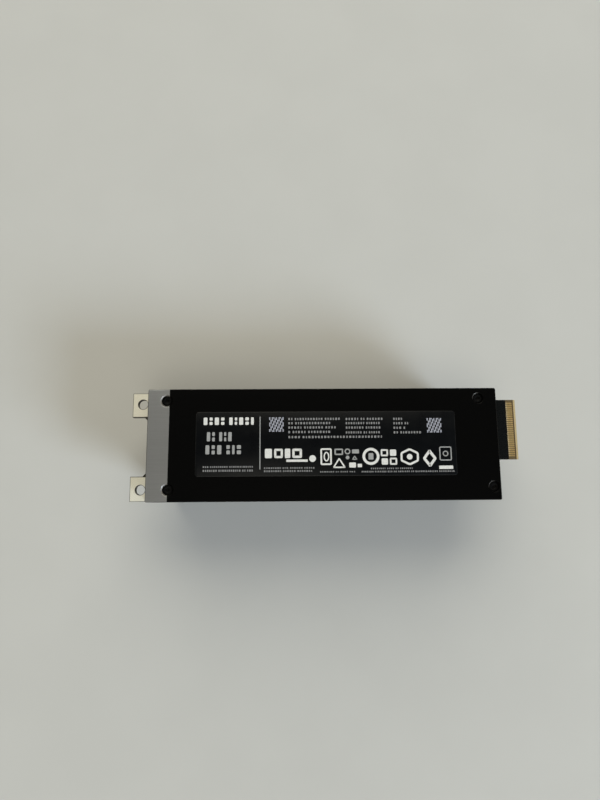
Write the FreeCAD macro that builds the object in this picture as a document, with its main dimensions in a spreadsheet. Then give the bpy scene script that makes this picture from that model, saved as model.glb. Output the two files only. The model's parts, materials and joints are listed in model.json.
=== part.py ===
import FreeCAD, Part
import Sketcher
import os
import re

# Driving dimensions in millimetres. X runs from the ear tips to the card edge, Y across the drive
# from its near side face, and Z up from the fin tips to the label.
DIMENSIONS = {
    # outline
    "body_length": 105.6,
    "body_width": 33.75,
    "ear_reach": 5.85,
    "tongue_reach": 7.3,
    "corner_radius": 0.5,
    # heat sink
    "fin_height": 14.8,
    "fin_thickness": 1.0,
    "fin_count": 11,
    "fin_side_inset": 1.475,
    "fin_front_setback": 3.9,
    "fin_rear_setback": 5.9,
    "floor_thickness": 2.0,
    "lower_room": 2.67,
    "side_wall": 1.475,
    "end_wall": 1.9,
    "ledge_width": 0.95,
    "pedestal_height": 0.7,
    "pedestal_margin": 0.5,
    # latch ears
    "ear_width": 7.5,
    "ear_thickness": 1.8,
    "ear_side_inset": 0.275,
    "ear_root_gusset": 2.2,
    "ear_hole_diameter": 3.0,
    "ear_hole_reach": 2.75,
    "ear_hole_inset": 3.75,
    # cover and its screws
    "cover_depth": 3.86,
    "cover_plate": 1.4,
    "cover_lap": 0.8,
    "cover_pedestal": 0.5,
    "cover_edge_chamfer": 0.2,
    "front_near_screw_setback": 6.5,
    "front_far_screw_setback": 5.6,
    "front_screw_inset": 3.575,
    "rear_far_screw_setback": 5.5,
    "rear_far_screw_inset": 3.2,
    "rear_near_screw_setback": 2.1,
    "rear_near_screw_inset": 3.9,
    "lug_reach": 2.6,
    "lug_corner_radius": 1.0,
    "screw_diameter": 1.6,
    "screw_length": 7.6,
    "screw_point": 0.3,
    "head_diameter": 2.8,
    "head_height": 0.8,
    "head_sink": 0.5,
    "head_clearance": 0.15,
    "front_mouth_chamfer": 0.35,
    "rear_mouth_chamfer": 0.2,
    "shank_clearance": 0.2,
    "thread_clearance": 0.05,
    "bore_runout": 0.5,
    "socket_width": 1.3,
    "socket_depth": 0.5,
    # label
    "label_length": 78.1,
    "label_width": 19.35,
    "label_thickness": 0.1,
    "label_front_gap": 14.55,
    "label_offset": 0.15,
    "label_corner_radius": 0.8,
    # circuit board and its card edge
    "board_thickness": 1.57,
    "board_clearance": 0.15,
    "tongue_width": 18.43,
    "tongue_far_inset": 3.125,
    "tongue_clearance": 0.3,
    "bevel_length": 0.75,
    "bevel_depth": 0.45,
    "contact_count": 28,
    "contact_pitch": 0.6,
    "contact_width": 0.4,
    "contact_length": 1.95,
    "contact_setback": 0.4,
    "contact_thickness": 0.05,
    # flash and working memory packages
    "flash_length": 14.0,
    "flash_width": 18.0,
    "flash_height": 1.2,
    "flash_gap": 2.0,
    "flash_upper_start": 12.0,
    "memory_length": 13.0,
    "memory_width": 9.0,
    "memory_height": 1.0,
    "memory_gap": 2.0,
    "memory_rear_gap": 15.0,
    # controller and its helpers
    "controller_size": 17.0,
    "controller_lid": 14.0,
    "controller_substrate": 0.6,
    "controller_height": 1.3,
    "controller_rear_gap": 6.95,
    "boot_length": 6.0,
    "boot_width": 5.0,
    "boot_height": 0.8,
    "crystal_length": 3.2,
    "crystal_width": 2.5,
    "crystal_base": 0.4,
    "crystal_height": 0.8,
    "crystal_lid_inset": 0.15,
    "helper_gap": 1.2,
    "helper_offset": 6.0,
    # hold-up capacitors and power supply
    "holdup_start": 10.0,
    "holdup_length": 7.3,
    "holdup_width": 4.3,
    "holdup_height": 1.9,
    "holdup_gap": 0.9,
    "strap_proud": 0.1,
    "strap_width": 2.4,
    "strap_height": 0.9,
    "power_gap": 2.0,
    "manager_size": 6.0,
    "manager_height": 0.9,
    "inductor_size": 4.5,
    "inductor_height": 1.8,
    "inductor_corner": 0.6,
    "inductor_gap": 1.0,
    # connector protection, sensor and small capacitors
    "switch_size": 5.0,
    "switch_height": 0.9,
    "switch_offset": 3.0,
    "clamp_length": 4.3,
    "clamp_width": 3.6,
    "clamp_height": 2.1,
    "clamp_offset": 6.0,
    "connector_gap": 9.0,
    "sensor_size": 2.0,
    "sensor_height": 0.6,
    "sensor_setback": 8.5,
    "sensor_offset": 5.0,
    "ceramic_length": 1.6,
    "ceramic_width": 0.8,
    "ceramic_height": 0.8,
    "ceramic_pitch": 9.0,
    "ceramic_count": 8,
    "ceramic_start": 15.0,
    "ceramic_inset": 4.2,
    # status lights
    "led_length": 1.6,
    "led_depth": 0.8,
    "led_base": 0.3,
    "led_height": 0.7,
    "led_lens_inset": 0.12,
    "led_spacing": 5.0,
    "led_edge_gap": 0.3,
    "guide_width": 2.0,
    "guide_height": 1.5,
    "guide_recess": 0.1,
    "guide_gap": 0.1,
    "guide_clearance": 0.1,
    "guide_edge_round": 0.3,
}

# Levels and stations that several pieces share, written in terms of the dimensions.
FRONT = "ear_reach"
REAR = "(ear_reach + body_length)"
OVERALL = "(ear_reach + body_length + tongue_reach)"
MIDDLE = "(body_width / 2)"
FLOOR = "(fin_height + floor_thickness)"
SEAT = f"({FLOOR} + lower_room)"
PARTING = f"({SEAT} + board_thickness)"
COVER_TOP = f"({PARTING} + cover_depth)"
UPPER_ROOM = "(cover_depth - cover_plate)"
INNER_FRONT = f"({FRONT} + end_wall)"
INNER_REAR = f"({REAR} - end_wall)"
INNER_FAR = "(body_width - side_wall)"
BOARD_FRONT = f"({INNER_FRONT} + board_clearance)"
BOARD_REAR = f"({INNER_REAR} - board_clearance)"
BOARD_NEAR = "(side_wall + board_clearance)"
BOARD_FAR = f"({INNER_FAR} - board_clearance)"
TONGUE_FAR = "(body_width - tongue_far_inset)"
TONGUE_NEAR = f"({TONGUE_FAR} - tongue_width)"
HEAD_SEAT = "(cover_depth - head_sink - head_height)"

# The four screw places, each with the outline of the lug that carries it.
FRONT_NEAR_SCREW = f"({FRONT} + front_near_screw_setback)"
FRONT_FAR_SCREW = f"({FRONT} + front_far_screw_setback)"
REAR_FAR_SCREW = f"({REAR} - rear_far_screw_setback)"
REAR_NEAR_SCREW = f"({REAR} - rear_near_screw_setback)"
LUGS = {
    "front_near": {
        "screw": (FRONT_NEAR_SCREW, "front_screw_inset"),
        "low": (INNER_FRONT, "side_wall"),
        "high": (f"({FRONT_NEAR_SCREW} + lug_reach)", "(front_screw_inset + lug_reach)"),
        "round": ["high high"],
    },
    "front_far": {
        "screw": (FRONT_FAR_SCREW, "(body_width - front_screw_inset)"),
        "low": (INNER_FRONT, "(body_width - front_screw_inset - lug_reach)"),
        "high": (f"({FRONT_FAR_SCREW} + lug_reach)", INNER_FAR),
        "round": ["high low"],
    },
    "rear_near": {
        "screw": (REAR_NEAR_SCREW, "rear_near_screw_inset"),
        "low": (f"({REAR_NEAR_SCREW} - lug_reach)", "side_wall"),
        "high": (INNER_REAR, "(rear_near_screw_inset + lug_reach)"),
        "round": ["low high"],
    },
    "rear_far": {
        "screw": (REAR_FAR_SCREW, "(body_width - rear_far_screw_inset)"),
        "low": (f"({REAR_FAR_SCREW} - lug_reach)",
                "(body_width - rear_far_screw_inset - lug_reach)"),
        "high": (f"({REAR_FAR_SCREW} + lug_reach)", INNER_FAR),
        "round": ["low low", "high low"],
    },
}

TOLERANCE = 0.001
FLIPPED = FreeCAD.Rotation(FreeCAD.Vector(1, 0, 0), 180)
UPRIGHT = FreeCAD.Rotation()

doc = FreeCAD.newDocument("drive")
sheet = doc.addObject("Spreadsheet::Sheet", "dims")
pieces = []


def fill_sheet():
    """Write every driving dimension into the sheet under its own alias."""
    for row, (name, value) in enumerate(DIMENSIONS.items(), start=1):
        sheet.set(f"A{row}", name)
        sheet.set(f"B{row}", str(value))
        sheet.setAlias(f"B{row}", name)
    doc.recompute()


def formula(text):
    """Expression in which each dimension's name is read from the sheet."""
    return re.sub("|".join(rf"\b{name}\b" for name in DIMENSIONS), r"dims.\g<0>", text)


def number(text):
    """Present value of an expression in dimension names."""
    return float(sheet.evalExpression(formula(text)))


def bind(item, prop, text):
    """Tie one property of an object to an expression in dimension names."""
    item.setExpression(prop, formula(text))


def place(item, along, across, level, rotation=UPRIGHT):
    """Put a piece at a station, measured from the ear tips, the near side and the fin tips."""
    item.Placement = FreeCAD.Placement(FreeCAD.Vector(), rotation)
    bind(item, "Placement.Base.x", f"{along} - {OVERALL} / 2")
    bind(item, "Placement.Base.y", f"{across} - {MIDDLE}")
    bind(item, "Placement.Base.z", level)


def keep(item, label):
    """Name a finished sub-part and list it for export."""
    item.Label = label
    pieces.append(item)
    return item


def new_body(label):
    """Body that stands for one sub-part."""
    return keep(doc.addObject("PartDesign::Body", label), label)


def new_sketch(body, name, along="0", across="0", level="0", plane="XY_Plane"):
    """Sketch on one of the body's own planes, its origin moved to a station."""
    sketch = body.newObject("Sketcher::SketchObject", name)
    support = next(item for item in body.Origin.OriginFeatures if item.Role == plane)
    sketch.AttachmentSupport = [(support, "")]
    sketch.MapMode = "FlatFace"
    bind(sketch, "AttachmentOffset.Base.x", along)
    bind(sketch, "AttachmentOffset.Base.y", across)
    bind(sketch, "AttachmentOffset.Base.z", level)
    return sketch


def add_outline(sketch, points):
    """Closed outline of straight lines through points given as pairs of expressions, none negative."""
    places = [FreeCAD.Vector(number(x), number(y), 0) for x, y in points]
    count = len(points)
    for index, start in enumerate(places):
        sketch.addGeometry(Part.LineSegment(start, places[(index + 1) % count]), False)
    for index, (x, y) in enumerate(points):
        sketch.addConstraint(Sketcher.Constraint("Coincident", index, 2, (index + 1) % count, 1))
        for kind, axis, text in (("DistanceX", -2, x), ("DistanceY", -1, y)):
            if text == "0":
                sketch.addConstraint(Sketcher.Constraint("PointOnObject", index, 1, axis))
            else:
                tie = Sketcher.Constraint(kind, -1, 1, index, 1, number(text))
                bind(sketch, f"Constraints[{sketch.addConstraint(tie)}]", text)


def rectangle(body, name, low, high, level):
    """Rectangle between two corners of the plan, at a level."""
    sketch = new_sketch(body, name, low[0], low[1], level)
    length = f"({high[0]}) - ({low[0]})"
    width = f"({high[1]}) - ({low[1]})"
    add_outline(sketch, [("0", "0"), (length, "0"), (length, width), ("0", width)])
    return sketch


def circle(body, name, centre, diameter, level):
    """Circle about a place of the plan, at a level."""
    sketch = new_sketch(body, name, centre[0], centre[1], level)
    sketch.addGeometry(Part.Circle(FreeCAD.Vector(), FreeCAD.Vector(0, 0, 1), number(diameter) / 2), False)
    sketch.addConstraint(Sketcher.Constraint("Coincident", 0, 3, -1, 1))
    tie = Sketcher.Constraint("Diameter", 0, number(diameter))
    bind(sketch, f"Constraints[{sketch.addConstraint(tie)}]", diameter)
    return sketch


def hexagon(body, name, centre, width, level):
    """Hexagon of a given width across its flats, about a place of the plan."""
    sketch = new_sketch(body, name, centre[0], centre[1], level)
    reach = number(width) / 3 ** 0.5
    turn = FreeCAD.Rotation(FreeCAD.Vector(0, 0, 1), 60)
    corner = FreeCAD.Vector(reach, 0, 0)
    for _ in range(6):
        following = turn.multVec(corner)
        sketch.addGeometry(Part.LineSegment(corner, following), False)
        corner = following
    ring = sketch.addGeometry(Part.Circle(FreeCAD.Vector(), FreeCAD.Vector(0, 0, 1), reach), True)
    sketch.addConstraint(Sketcher.Constraint("Coincident", ring, 3, -1, 1))
    for index in range(6):
        sketch.addConstraint(Sketcher.Constraint("Coincident", index, 2, (index + 1) % 6, 1))
        sketch.addConstraint(Sketcher.Constraint("PointOnObject", index, 1, ring))
    for index in range(1, 6):
        sketch.addConstraint(Sketcher.Constraint("Equal", 0, index))
    sketch.addConstraint(Sketcher.Constraint("PointOnObject", 0, 1, -1))
    tie = Sketcher.Constraint("Radius", ring, reach)
    bind(sketch, f"Constraints[{sketch.addConstraint(tie)}]", f"{width} / sqrt(3)")
    return sketch


def pad(body, sketch, name, length, backward=False):
    """Raise a sketch into solid, along its normal unless told to go back."""
    feature = body.newObject("PartDesign::Pad", name)
    feature.Profile = sketch
    feature.Reversed = backward
    bind(feature, "Length", length)
    return feature


def pocket(body, sketch, name, depth, upward=False):
    """Cut a sketch downward, or upward when told to, and check that it removed something."""
    doc.recompute()
    before = body.Shape.Volume
    feature = body.newObject("PartDesign::Pocket", name)
    feature.Profile = sketch
    feature.Reversed = upward
    bind(feature, "Length", depth)
    doc.recompute()
    if body.Shape.Volume > before - TOLERANCE:
        raise ValueError(f"{name} cuts nothing")
    return feature


def upright_edges(body, stations):
    """Names of the body's vertical edges that stand at the given places of the plan."""
    doc.recompute()
    targets = [(number(x), number(y)) for x, y in stations]
    names = []
    for index, edge in enumerate(body.Tip.Shape.Edges, start=1):
        box = edge.BoundBox
        if box.ZLength < TOLERANCE or box.XLength > TOLERANCE or box.YLength > TOLERANCE:
            continue
        if any(abs(box.XMin - x) < TOLERANCE and abs(box.YMin - y) < TOLERANCE for x, y in targets):
            names.append(f"Edge{index}")
    return names


def level_edges(body, level, wanted):
    """Names of the body's edges that lie wholly at a level and pass the wanted test."""
    doc.recompute()
    names = []
    for index, edge in enumerate(body.Tip.Shape.Edges, start=1):
        box = edge.BoundBox
        flat = abs(box.ZMin - level) < TOLERANCE and abs(box.ZMax - level) < TOLERANCE
        if flat and wanted(edge):
            names.append(f"Edge{index}")
    return names


def is_round(edge):
    """True for a full circle, such as the mouth of a bore."""
    return isinstance(edge.Curve, Part.Circle) and edge.isClosed()


def fillet(body, name, edges, radius):
    """Round the named edges of the body's present shape."""
    base = body.Tip
    feature = body.newObject("PartDesign::Fillet", name)
    feature.Base = (base, edges)
    bind(feature, "Radius", radius)
    doc.recompute()
    return feature


def chamfer(body, name, edges, size):
    """Bevel the named edges of the body's present shape."""
    base = body.Tip
    feature = body.newObject("PartDesign::Chamfer", name)
    feature.Base = (base, edges)
    bind(feature, "Size", size)
    doc.recompute()
    return feature


def row_pattern(body, feature, name, axis, length, count):
    """Repeat a feature along one of the body's axes, over a length from first to last."""
    pattern = body.newObject("PartDesign::LinearPattern", name)
    pattern.Originals = [feature]
    direction = next(item for item in body.Origin.OriginFeatures if item.Role == axis)
    pattern.Direction = (direction, [""])
    bind(pattern, "Length", length)
    bind(pattern, "Occurrences", count)
    body.Tip = pattern
    doc.recompute()
    return pattern


def box(name, length, width, height):
    """Block centred on its own origin in plan and standing on it."""
    block = doc.addObject("Part::Box", name)
    bind(block, "Length", length)
    bind(block, "Width", width)
    bind(block, "Height", height)
    bind(block, "Placement.Base.x", f"-({length}) / 2")
    bind(block, "Placement.Base.y", f"-({width}) / 2")
    return block


def join(first, second, name):
    """One solid from two overlapping blocks."""
    union = doc.addObject("Part::Fuse", name)
    union.Base = first
    union.Tool = second
    return union


def lug_corners(lug):
    """Free corners of a lug in plan, the ones that are rounded."""
    ends = {"low": lug["low"], "high": lug["high"]}
    return [(ends[x][0], ends[y][1]) for x, y in (word.split() for word in lug["round"])]


def body_corners():
    """The four corners of the drive's body in plan."""
    return [(x, y) for x in (FRONT, REAR) for y in ("0", "body_width")]


def heat_sink():
    """Finned tray that carries the board, the latch ears and the screw lugs."""
    body = new_body("heat_sink")
    place(body, "0", "0", "0")
    outline = rectangle(body, "tray_outline", (FRONT, "0"), (REAR, "body_width"), "fin_height")
    pad(body, outline, "tray", f"{PARTING} - fin_height")
    fillet(body, "tray_corners", upright_edges(body, body_corners()), "corner_radius")

    recess_low = (INNER_FRONT, "side_wall")
    recess_high = (INNER_REAR, INNER_FAR)
    recess = rectangle(body, "recess_outline", recess_low, recess_high, PARTING)
    pocket(body, recess, "board_recess", "board_thickness")
    well_low = [f"{text} + ledge_width" for text in recess_low]
    well_high = [f"{text} - ledge_width" for text in recess_high]
    well = rectangle(body, "well_outline", well_low, well_high, SEAT)
    pocket(body, well, "component_well", "lower_room")

    for name, lug in LUGS.items():
        reach = rectangle(body, f"{name}_lug_outline", lug["low"], lug["high"], FLOOR)
        pad(body, reach, f"{name}_lug", f"{PARTING} - {FLOOR}")
        fillet(body, f"{name}_lug_round", upright_edges(body, lug_corners(lug)), "lug_corner_radius")

    gate_low = (INNER_REAR, f"{TONGUE_NEAR} - tongue_clearance")
    gate_high = (REAR, f"{TONGUE_FAR} + tongue_clearance")
    gate = rectangle(body, "gate_outline", gate_low, gate_high, PARTING)
    pocket(body, gate, "tongue_gate", "board_thickness")

    for name, (low, high) in lower_pad_areas().items():
        low = [f"{text} - pedestal_margin" for text in low]
        high = [f"{text} + pedestal_margin" for text in high]
        pad(body, rectangle(body, f"{name}_area", low, high, FLOOR), f"{name}_pedestal", "pedestal_height")

    ear_level = f"{SEAT} - ear_thickness"
    roots = []
    for side in ("near", "far"):
        outer = "ear_side_inset"
        inner = "(ear_side_inset + ear_width)"
        hole = "ear_hole_inset"
        if side == "far":
            outer, inner, hole = (f"(body_width - {text})" for text in (outer, inner, hole))
        low, high = (outer, inner) if side == "near" else (inner, outer)
        pad(body, rectangle(body, f"{side}_ear_outline", ("0", low), (FRONT, high), ear_level),
            f"{side}_ear", "ear_thickness")
        centre = (f"{FRONT} - ear_hole_reach", hole)
        bore = circle(body, f"{side}_ear_bore", centre, "ear_hole_diameter", SEAT)
        pocket(body, bore, f"{side}_ear_hole", "ear_thickness")
        roots.append((FRONT, inner))
    chamfer(body, "ear_roots", upright_edges(body, roots), "ear_root_gusset")

    for name, lug in LUGS.items():
        bore = circle(body, f"{name}_thread", lug["screw"], "screw_diameter + 2 * thread_clearance", PARTING)
        pocket(body, bore, f"{name}_bore", f"screw_length - {HEAD_SEAT} + bore_runout")

    first_low = (f"{FRONT} + fin_front_setback", "fin_side_inset")
    first_high = (f"{REAR} - fin_rear_setback", "fin_side_inset + fin_thickness")
    fin = pad(body, rectangle(body, "fin_outline", first_low, first_high, "0"), "fin", "fin_height")
    span = "body_width - 2 * fin_side_inset - fin_thickness"
    row_pattern(body, fin, "fins", "Y_Axis", span, "fin_count")
    return body


def top_cover():
    """Flat lid with a rim that clamps the board's edge and four sunk screw bores."""
    body = new_body("top_cover")
    place(body, "0", "0", PARTING)
    outline = rectangle(body, "lid_outline", (FRONT, "0"), (REAR, "body_width"), "0")
    pad(body, outline, "lid", "cover_depth")
    fillet(body, "lid_corners", upright_edges(body, body_corners()), "corner_radius")
    top = number("cover_depth")
    rim = level_edges(body, top, lambda edge: True)
    chamfer(body, "lid_edge", rim, "cover_edge_chamfer")

    low = (f"{BOARD_FRONT} + cover_lap", f"{BOARD_NEAR} + cover_lap")
    high = (f"{BOARD_REAR} - cover_lap", f"{BOARD_FAR} - cover_lap")
    hollow = rectangle(body, "hollow_outline", low, high, "0")
    pocket(body, hollow, "hollow", UPPER_ROOM, upward=True)

    for name, lug in LUGS.items():
        reach = rectangle(body, f"{name}_lug_outline", lug["low"], lug["high"], "0")
        pad(body, reach, f"{name}_lug", UPPER_ROOM)
        fillet(body, f"{name}_lug_round", upright_edges(body, lug_corners(lug)), "lug_corner_radius")

    for name, (area_low, area_high) in upper_pad_areas().items():
        area_low = [f"{text} - pedestal_margin" for text in area_low]
        area_high = [f"{text} + pedestal_margin" for text in area_high]
        area = rectangle(body, f"{name}_area", area_low, area_high, f"{UPPER_ROOM} - cover_pedestal")
        pad(body, area, f"{name}_pedestal", "cover_pedestal")

    for index, across in enumerate(led_places(), start=1):
        half = "(guide_width / 2 + guide_clearance)"
        window = rectangle(body, f"window_{index}_outline", (FRONT, f"{across} - {half}"),
                           (low[0], f"{across} + {half}"), "0")
        pocket(body, window, f"window_{index}", "guide_height + guide_clearance", upward=True)

    shank_bore = "screw_diameter + 2 * shank_clearance"
    head_bore = "head_diameter + 2 * head_clearance"
    for name, lug in LUGS.items():
        shank = circle(body, f"{name}_shank", lug["screw"], shank_bore, "cover_depth")
        pocket(body, shank, f"{name}_shank_bore", "cover_depth")
        head = circle(body, f"{name}_head", lug["screw"], head_bore, "cover_depth")
        pocket(body, head, f"{name}_head_bore", "head_sink + head_height")
    halfway = number(f"({FRONT} + {REAR}) / 2")
    front_mouths = level_edges(body, top, lambda edge: is_round(edge) and edge.CenterOfMass.x < halfway)
    chamfer(body, "front_mouths", front_mouths, "front_mouth_chamfer")
    rear_mouths = level_edges(body, top, lambda edge: is_round(edge) and edge.CenterOfMass.x > halfway)
    chamfer(body, "rear_mouths", rear_mouths, "rear_mouth_chamfer")
    return body


def cover_screws():
    """Four equal socket screws that hold the cover down on the heat sink's lugs."""
    master = doc.addObject("PartDesign::Body", "screw_pattern")
    shank = "(screw_diameter / 2)"
    head = "(head_diameter / 2)"
    top = "(screw_length + head_height)"
    profile = new_sketch(master, "screw_profile", plane="XZ_Plane")
    add_outline(profile, [("0", "0"), (f"{shank} - screw_point", "0"), (shank, "screw_point"),
                          (shank, "screw_length"), (head, "screw_length"), (head, top), ("0", top)])
    turned = master.newObject("PartDesign::Revolution", "turned_screw")
    turned.Profile = profile
    turned.ReferenceAxis = (profile, ["V_Axis"])
    turned.Angle = 360
    socket = hexagon(master, "socket_outline", ("0", "0"), "socket_width", top)
    pocket(master, socket, "socket", "socket_depth")

    group = keep(doc.addObject("Part::Feature", "cover_screws"), "cover_screws")
    screws = []
    for lug in LUGS.values():
        screw = master.Shape.copy()
        across, along = lug["screw"][1], lug["screw"][0]
        screw.translate(FreeCAD.Vector(number(along), number(across), 0))
        screws.append(screw)
    group.Shape = Part.makeCompound(screws)
    place(group, "0", "0", f"{PARTING} + {HEAD_SEAT} - screw_length")
    return group


def drive_label():
    """Printed label stuck on the cover's flat face."""
    body = new_body("drive_label")
    place(body, "0", "0", COVER_TOP)
    low = (f"({FRONT} + label_front_gap)", f"({MIDDLE} + label_offset - label_width / 2)")
    high = (f"({low[0]} + label_length)", f"({low[1]} + label_width)")
    pad(body, rectangle(body, "label_outline", low, high, "0"), "label_sheet", "label_thickness")
    corners = [(x, y) for x in (low[0], high[0]) for y in (low[1], high[1])]
    fillet(body, "label_corners", upright_edges(body, corners), "label_corner_radius")
    return body


def circuit_board():
    """Board notched round the screw lugs, with a bevelled tongue as its card edge."""
    body = new_body("circuit_board")
    place(body, "0", "0", SEAT)
    outline = rectangle(body, "board_outline", (BOARD_FRONT, BOARD_NEAR), (BOARD_REAR, BOARD_FAR), "0")
    pad(body, outline, "board", "board_thickness")

    reach = f"({OVERALL} - {BOARD_REAR})"
    shoulder = f"({reach} - bevel_length)"
    tongue = new_sketch(body, "tongue_profile", BOARD_REAR, "0", f"-{TONGUE_NEAR}", plane="XZ_Plane")
    add_outline(tongue, [("0", "0"), (shoulder, "0"), (reach, "bevel_depth"),
                         (reach, "board_thickness - bevel_depth"), (shoulder, "board_thickness"),
                         ("0", "board_thickness")])
    pad(body, tongue, "tongue", "tongue_width", backward=True)

    notch_radius = "lug_corner_radius + board_clearance"
    for name, lug in LUGS.items():
        low = [f"({text} - board_clearance)" for text in lug["low"]]
        high = [f"({text} + board_clearance)" for text in lug["high"]]
        ends = {"low": low, "high": high}
        notch = rectangle(body, f"{name}_notch_outline", low, high, "board_thickness")
        pocket(body, notch, f"{name}_notch", "board_thickness")
        corners = [(ends[x][0], ends[y][1]) for x, y in (word.split() for word in lug["round"])]
        fillet(body, f"{name}_notch_round", upright_edges(body, corners), notch_radius)
    strip = rectangle(body, "shoulder_outline", (REAR_FAR_SCREW, TONGUE_FAR), (REAR, "body_width"),
                      "board_thickness")
    pocket(body, strip, "far_shoulder", "board_thickness")
    return body


def contact_row(label, level):
    """Row of gold contacts along the card edge, on one face of the tongue."""
    body = new_body(label)
    body.AllowCompound = True
    place(body, "0", "0", level)
    run = "((contact_count - 1) * contact_pitch)"
    outer_end = f"({OVERALL} - bevel_length - contact_setback)"
    low = (f"({outer_end} - contact_length)",
           f"({TONGUE_NEAR} + (tongue_width - {run} - contact_width) / 2)")
    high = (outer_end, f"({low[1]} + contact_width)")
    outline = rectangle(body, f"{label}_outline", low, high, "0")
    first = pad(body, outline, f"{label}_first", "contact_thickness")
    row_pattern(body, first, f"{label}_row", "Y_Axis", run, "contact_count")
    return body


def package(label, length, width, height, station, level, lower=False):
    """Moulded chip package that sits flat on the board, on its upper or its lower face."""
    item = keep(doc.addObject("Part::Box", label), label)
    bind(item, "Length", length)
    bind(item, "Width", width)
    bind(item, "Height", height)
    base = f"{level} - {height}" if lower else level
    place(item, f"{station[0]} - {length} / 2", f"{station[1]} - {width} / 2", base)
    return item


def stepped_package(label, foot, lid, station, level, lower=False):
    """Package with a smaller lid on a wider foot; each is a length, a width and a top height."""
    item = join(box(f"{label}_foot", *foot), box(f"{label}_lid", *lid), label)
    place(item, station[0], station[1], level, FLIPPED if lower else UPRIGHT)
    return keep(item, label)


def strapped_package(label, length, width, height, station, level, lower=False):
    """Moulded case with a metal strap that shows at both ends."""
    case = box(f"{label}_case", f"{length} - 2 * strap_proud", width, height)
    strap = box(f"{label}_strap", length, "strap_width", "strap_height")
    item = join(case, strap, label)
    place(item, station[0], station[1], level, FLIPPED if lower else UPRIGHT)
    return keep(item, label)


def flash_stations(start, count, gap):
    """Centres of a row of flash packages along the middle of the board."""
    return [(f"({start} + flash_length / 2 + {index} * (flash_length + {gap}))", MIDDLE)
            for index in range(count)]


UPPER_FLASH_COUNT = 3
LOWER_FLASH_COUNT = 2
HOLDUP_COLUMN_COUNT = 2
HOLDUP_ROW_COUNT = 4
INDUCTOR_COUNT = 3
UPPER_FLASH_START = f"({FRONT} + flash_upper_start)"
HOLDUP_END = f"({FRONT} + holdup_start + {HOLDUP_COLUMN_COUNT} * (holdup_length + holdup_gap))"
POWER_LINE = f"({HOLDUP_END} - holdup_gap + power_gap + manager_size / 2)"
POWER_END = f"({POWER_LINE} + manager_size / 2)"
CONTROLLER_LINE = f"({REAR} - controller_rear_gap - controller_size / 2)"
HELPER_LINE = f"({CONTROLLER_LINE} - controller_size / 2 - helper_gap)"
LOWER_FLASH_ROOM = f"({HELPER_LINE} - boot_length - {POWER_END})"
LOWER_FLASH_GAP = (f"(({LOWER_FLASH_ROOM} - {LOWER_FLASH_COUNT} * flash_length)"
                   f" / {LOWER_FLASH_COUNT + 1})")
LOWER_FLASH_START = f"({POWER_END} + {LOWER_FLASH_GAP})"
MEMORY_LINE = f"({REAR} - memory_rear_gap - memory_length / 2)"
POWER_SPAN = f"(manager_size + {INDUCTOR_COUNT} * (inductor_size + inductor_gap))"
MANAGER_LINE = f"({MIDDLE} - {POWER_SPAN} / 2 + manager_size / 2)"


def area_round(stations, length, width):
    """Corners of the area that covers packages in a row, from the first to the last."""
    (first_x, first_y), (last_x, last_y) = stations[0], stations[-1]
    return ((f"({first_x} - {length} / 2)", f"({first_y} - {width} / 2)"),
            (f"({last_x} + {length} / 2)", f"({last_y} + {width} / 2)"))


def upper_flash():
    """Centres of the flash packages on the board's upper face, set from the front."""
    return flash_stations(UPPER_FLASH_START, UPPER_FLASH_COUNT, "flash_gap")


def lower_flash():
    """Centres of the flash packages on the lower face, spread evenly over the room they have."""
    return flash_stations(LOWER_FLASH_START, LOWER_FLASH_COUNT, LOWER_FLASH_GAP)


def memory_stations():
    """Centres of the two working memory packages, side by side across the board."""
    step = "(memory_width + memory_gap) / 2"
    return [(MEMORY_LINE, f"({MIDDLE} - {step})"), (MEMORY_LINE, f"({MIDDLE} + {step})")]


def lower_pad_areas():
    """Plan areas of the thermal pads between the board's lower chips and the heat sink."""
    return {
        "flash": area_round(lower_flash(), "flash_length", "flash_width"),
        "controller": area_round([(CONTROLLER_LINE, MIDDLE)], "controller_lid", "controller_lid"),
        "power": area_round([(POWER_LINE, MANAGER_LINE)], "manager_size", "manager_size"),
    }


def upper_pad_areas():
    """Plan areas of the thermal pads between the board's upper chips and the cover."""
    return {
        "flash": area_round(upper_flash(), "flash_length", "flash_width"),
        "memory": area_round(memory_stations(), "memory_length", "memory_width"),
    }


def led_places():
    """Distances from the near side of the two status lights at the board's front edge."""
    return [f"({MIDDLE} - led_spacing / 2)", f"({MIDDLE} + led_spacing / 2)"]


def chips():
    """Flash, working memory, the controller and its helpers."""
    for index, station in enumerate(upper_flash(), start=1):
        package(f"flash_upper_{index}", "flash_length", "flash_width", "flash_height", station, PARTING)
    for index, station in enumerate(lower_flash(), start=1):
        package(f"flash_lower_{index}", "flash_length", "flash_width", "flash_height", station, SEAT, True)
    for index, station in enumerate(memory_stations(), start=1):
        package(f"memory_chip_{index}", "memory_length", "memory_width", "memory_height", station, PARTING)
    stepped_package("controller", ("controller_size", "controller_size", "controller_substrate"),
                    ("controller_lid", "controller_lid", "controller_height"),
                    (CONTROLLER_LINE, MIDDLE), SEAT, True)
    package("boot_memory", "boot_length", "boot_width", "boot_height",
            (f"({HELPER_LINE} - boot_length / 2)", f"({MIDDLE} - helper_offset)"), SEAT, True)
    lid = ("crystal_length - 2 * crystal_lid_inset", "crystal_width - 2 * crystal_lid_inset",
           "crystal_height")
    stepped_package("clock_crystal", ("crystal_length", "crystal_width", "crystal_base"), lid,
                    (f"({HELPER_LINE} - crystal_length / 2)", f"({MIDDLE} + helper_offset)"), SEAT, True)


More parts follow.
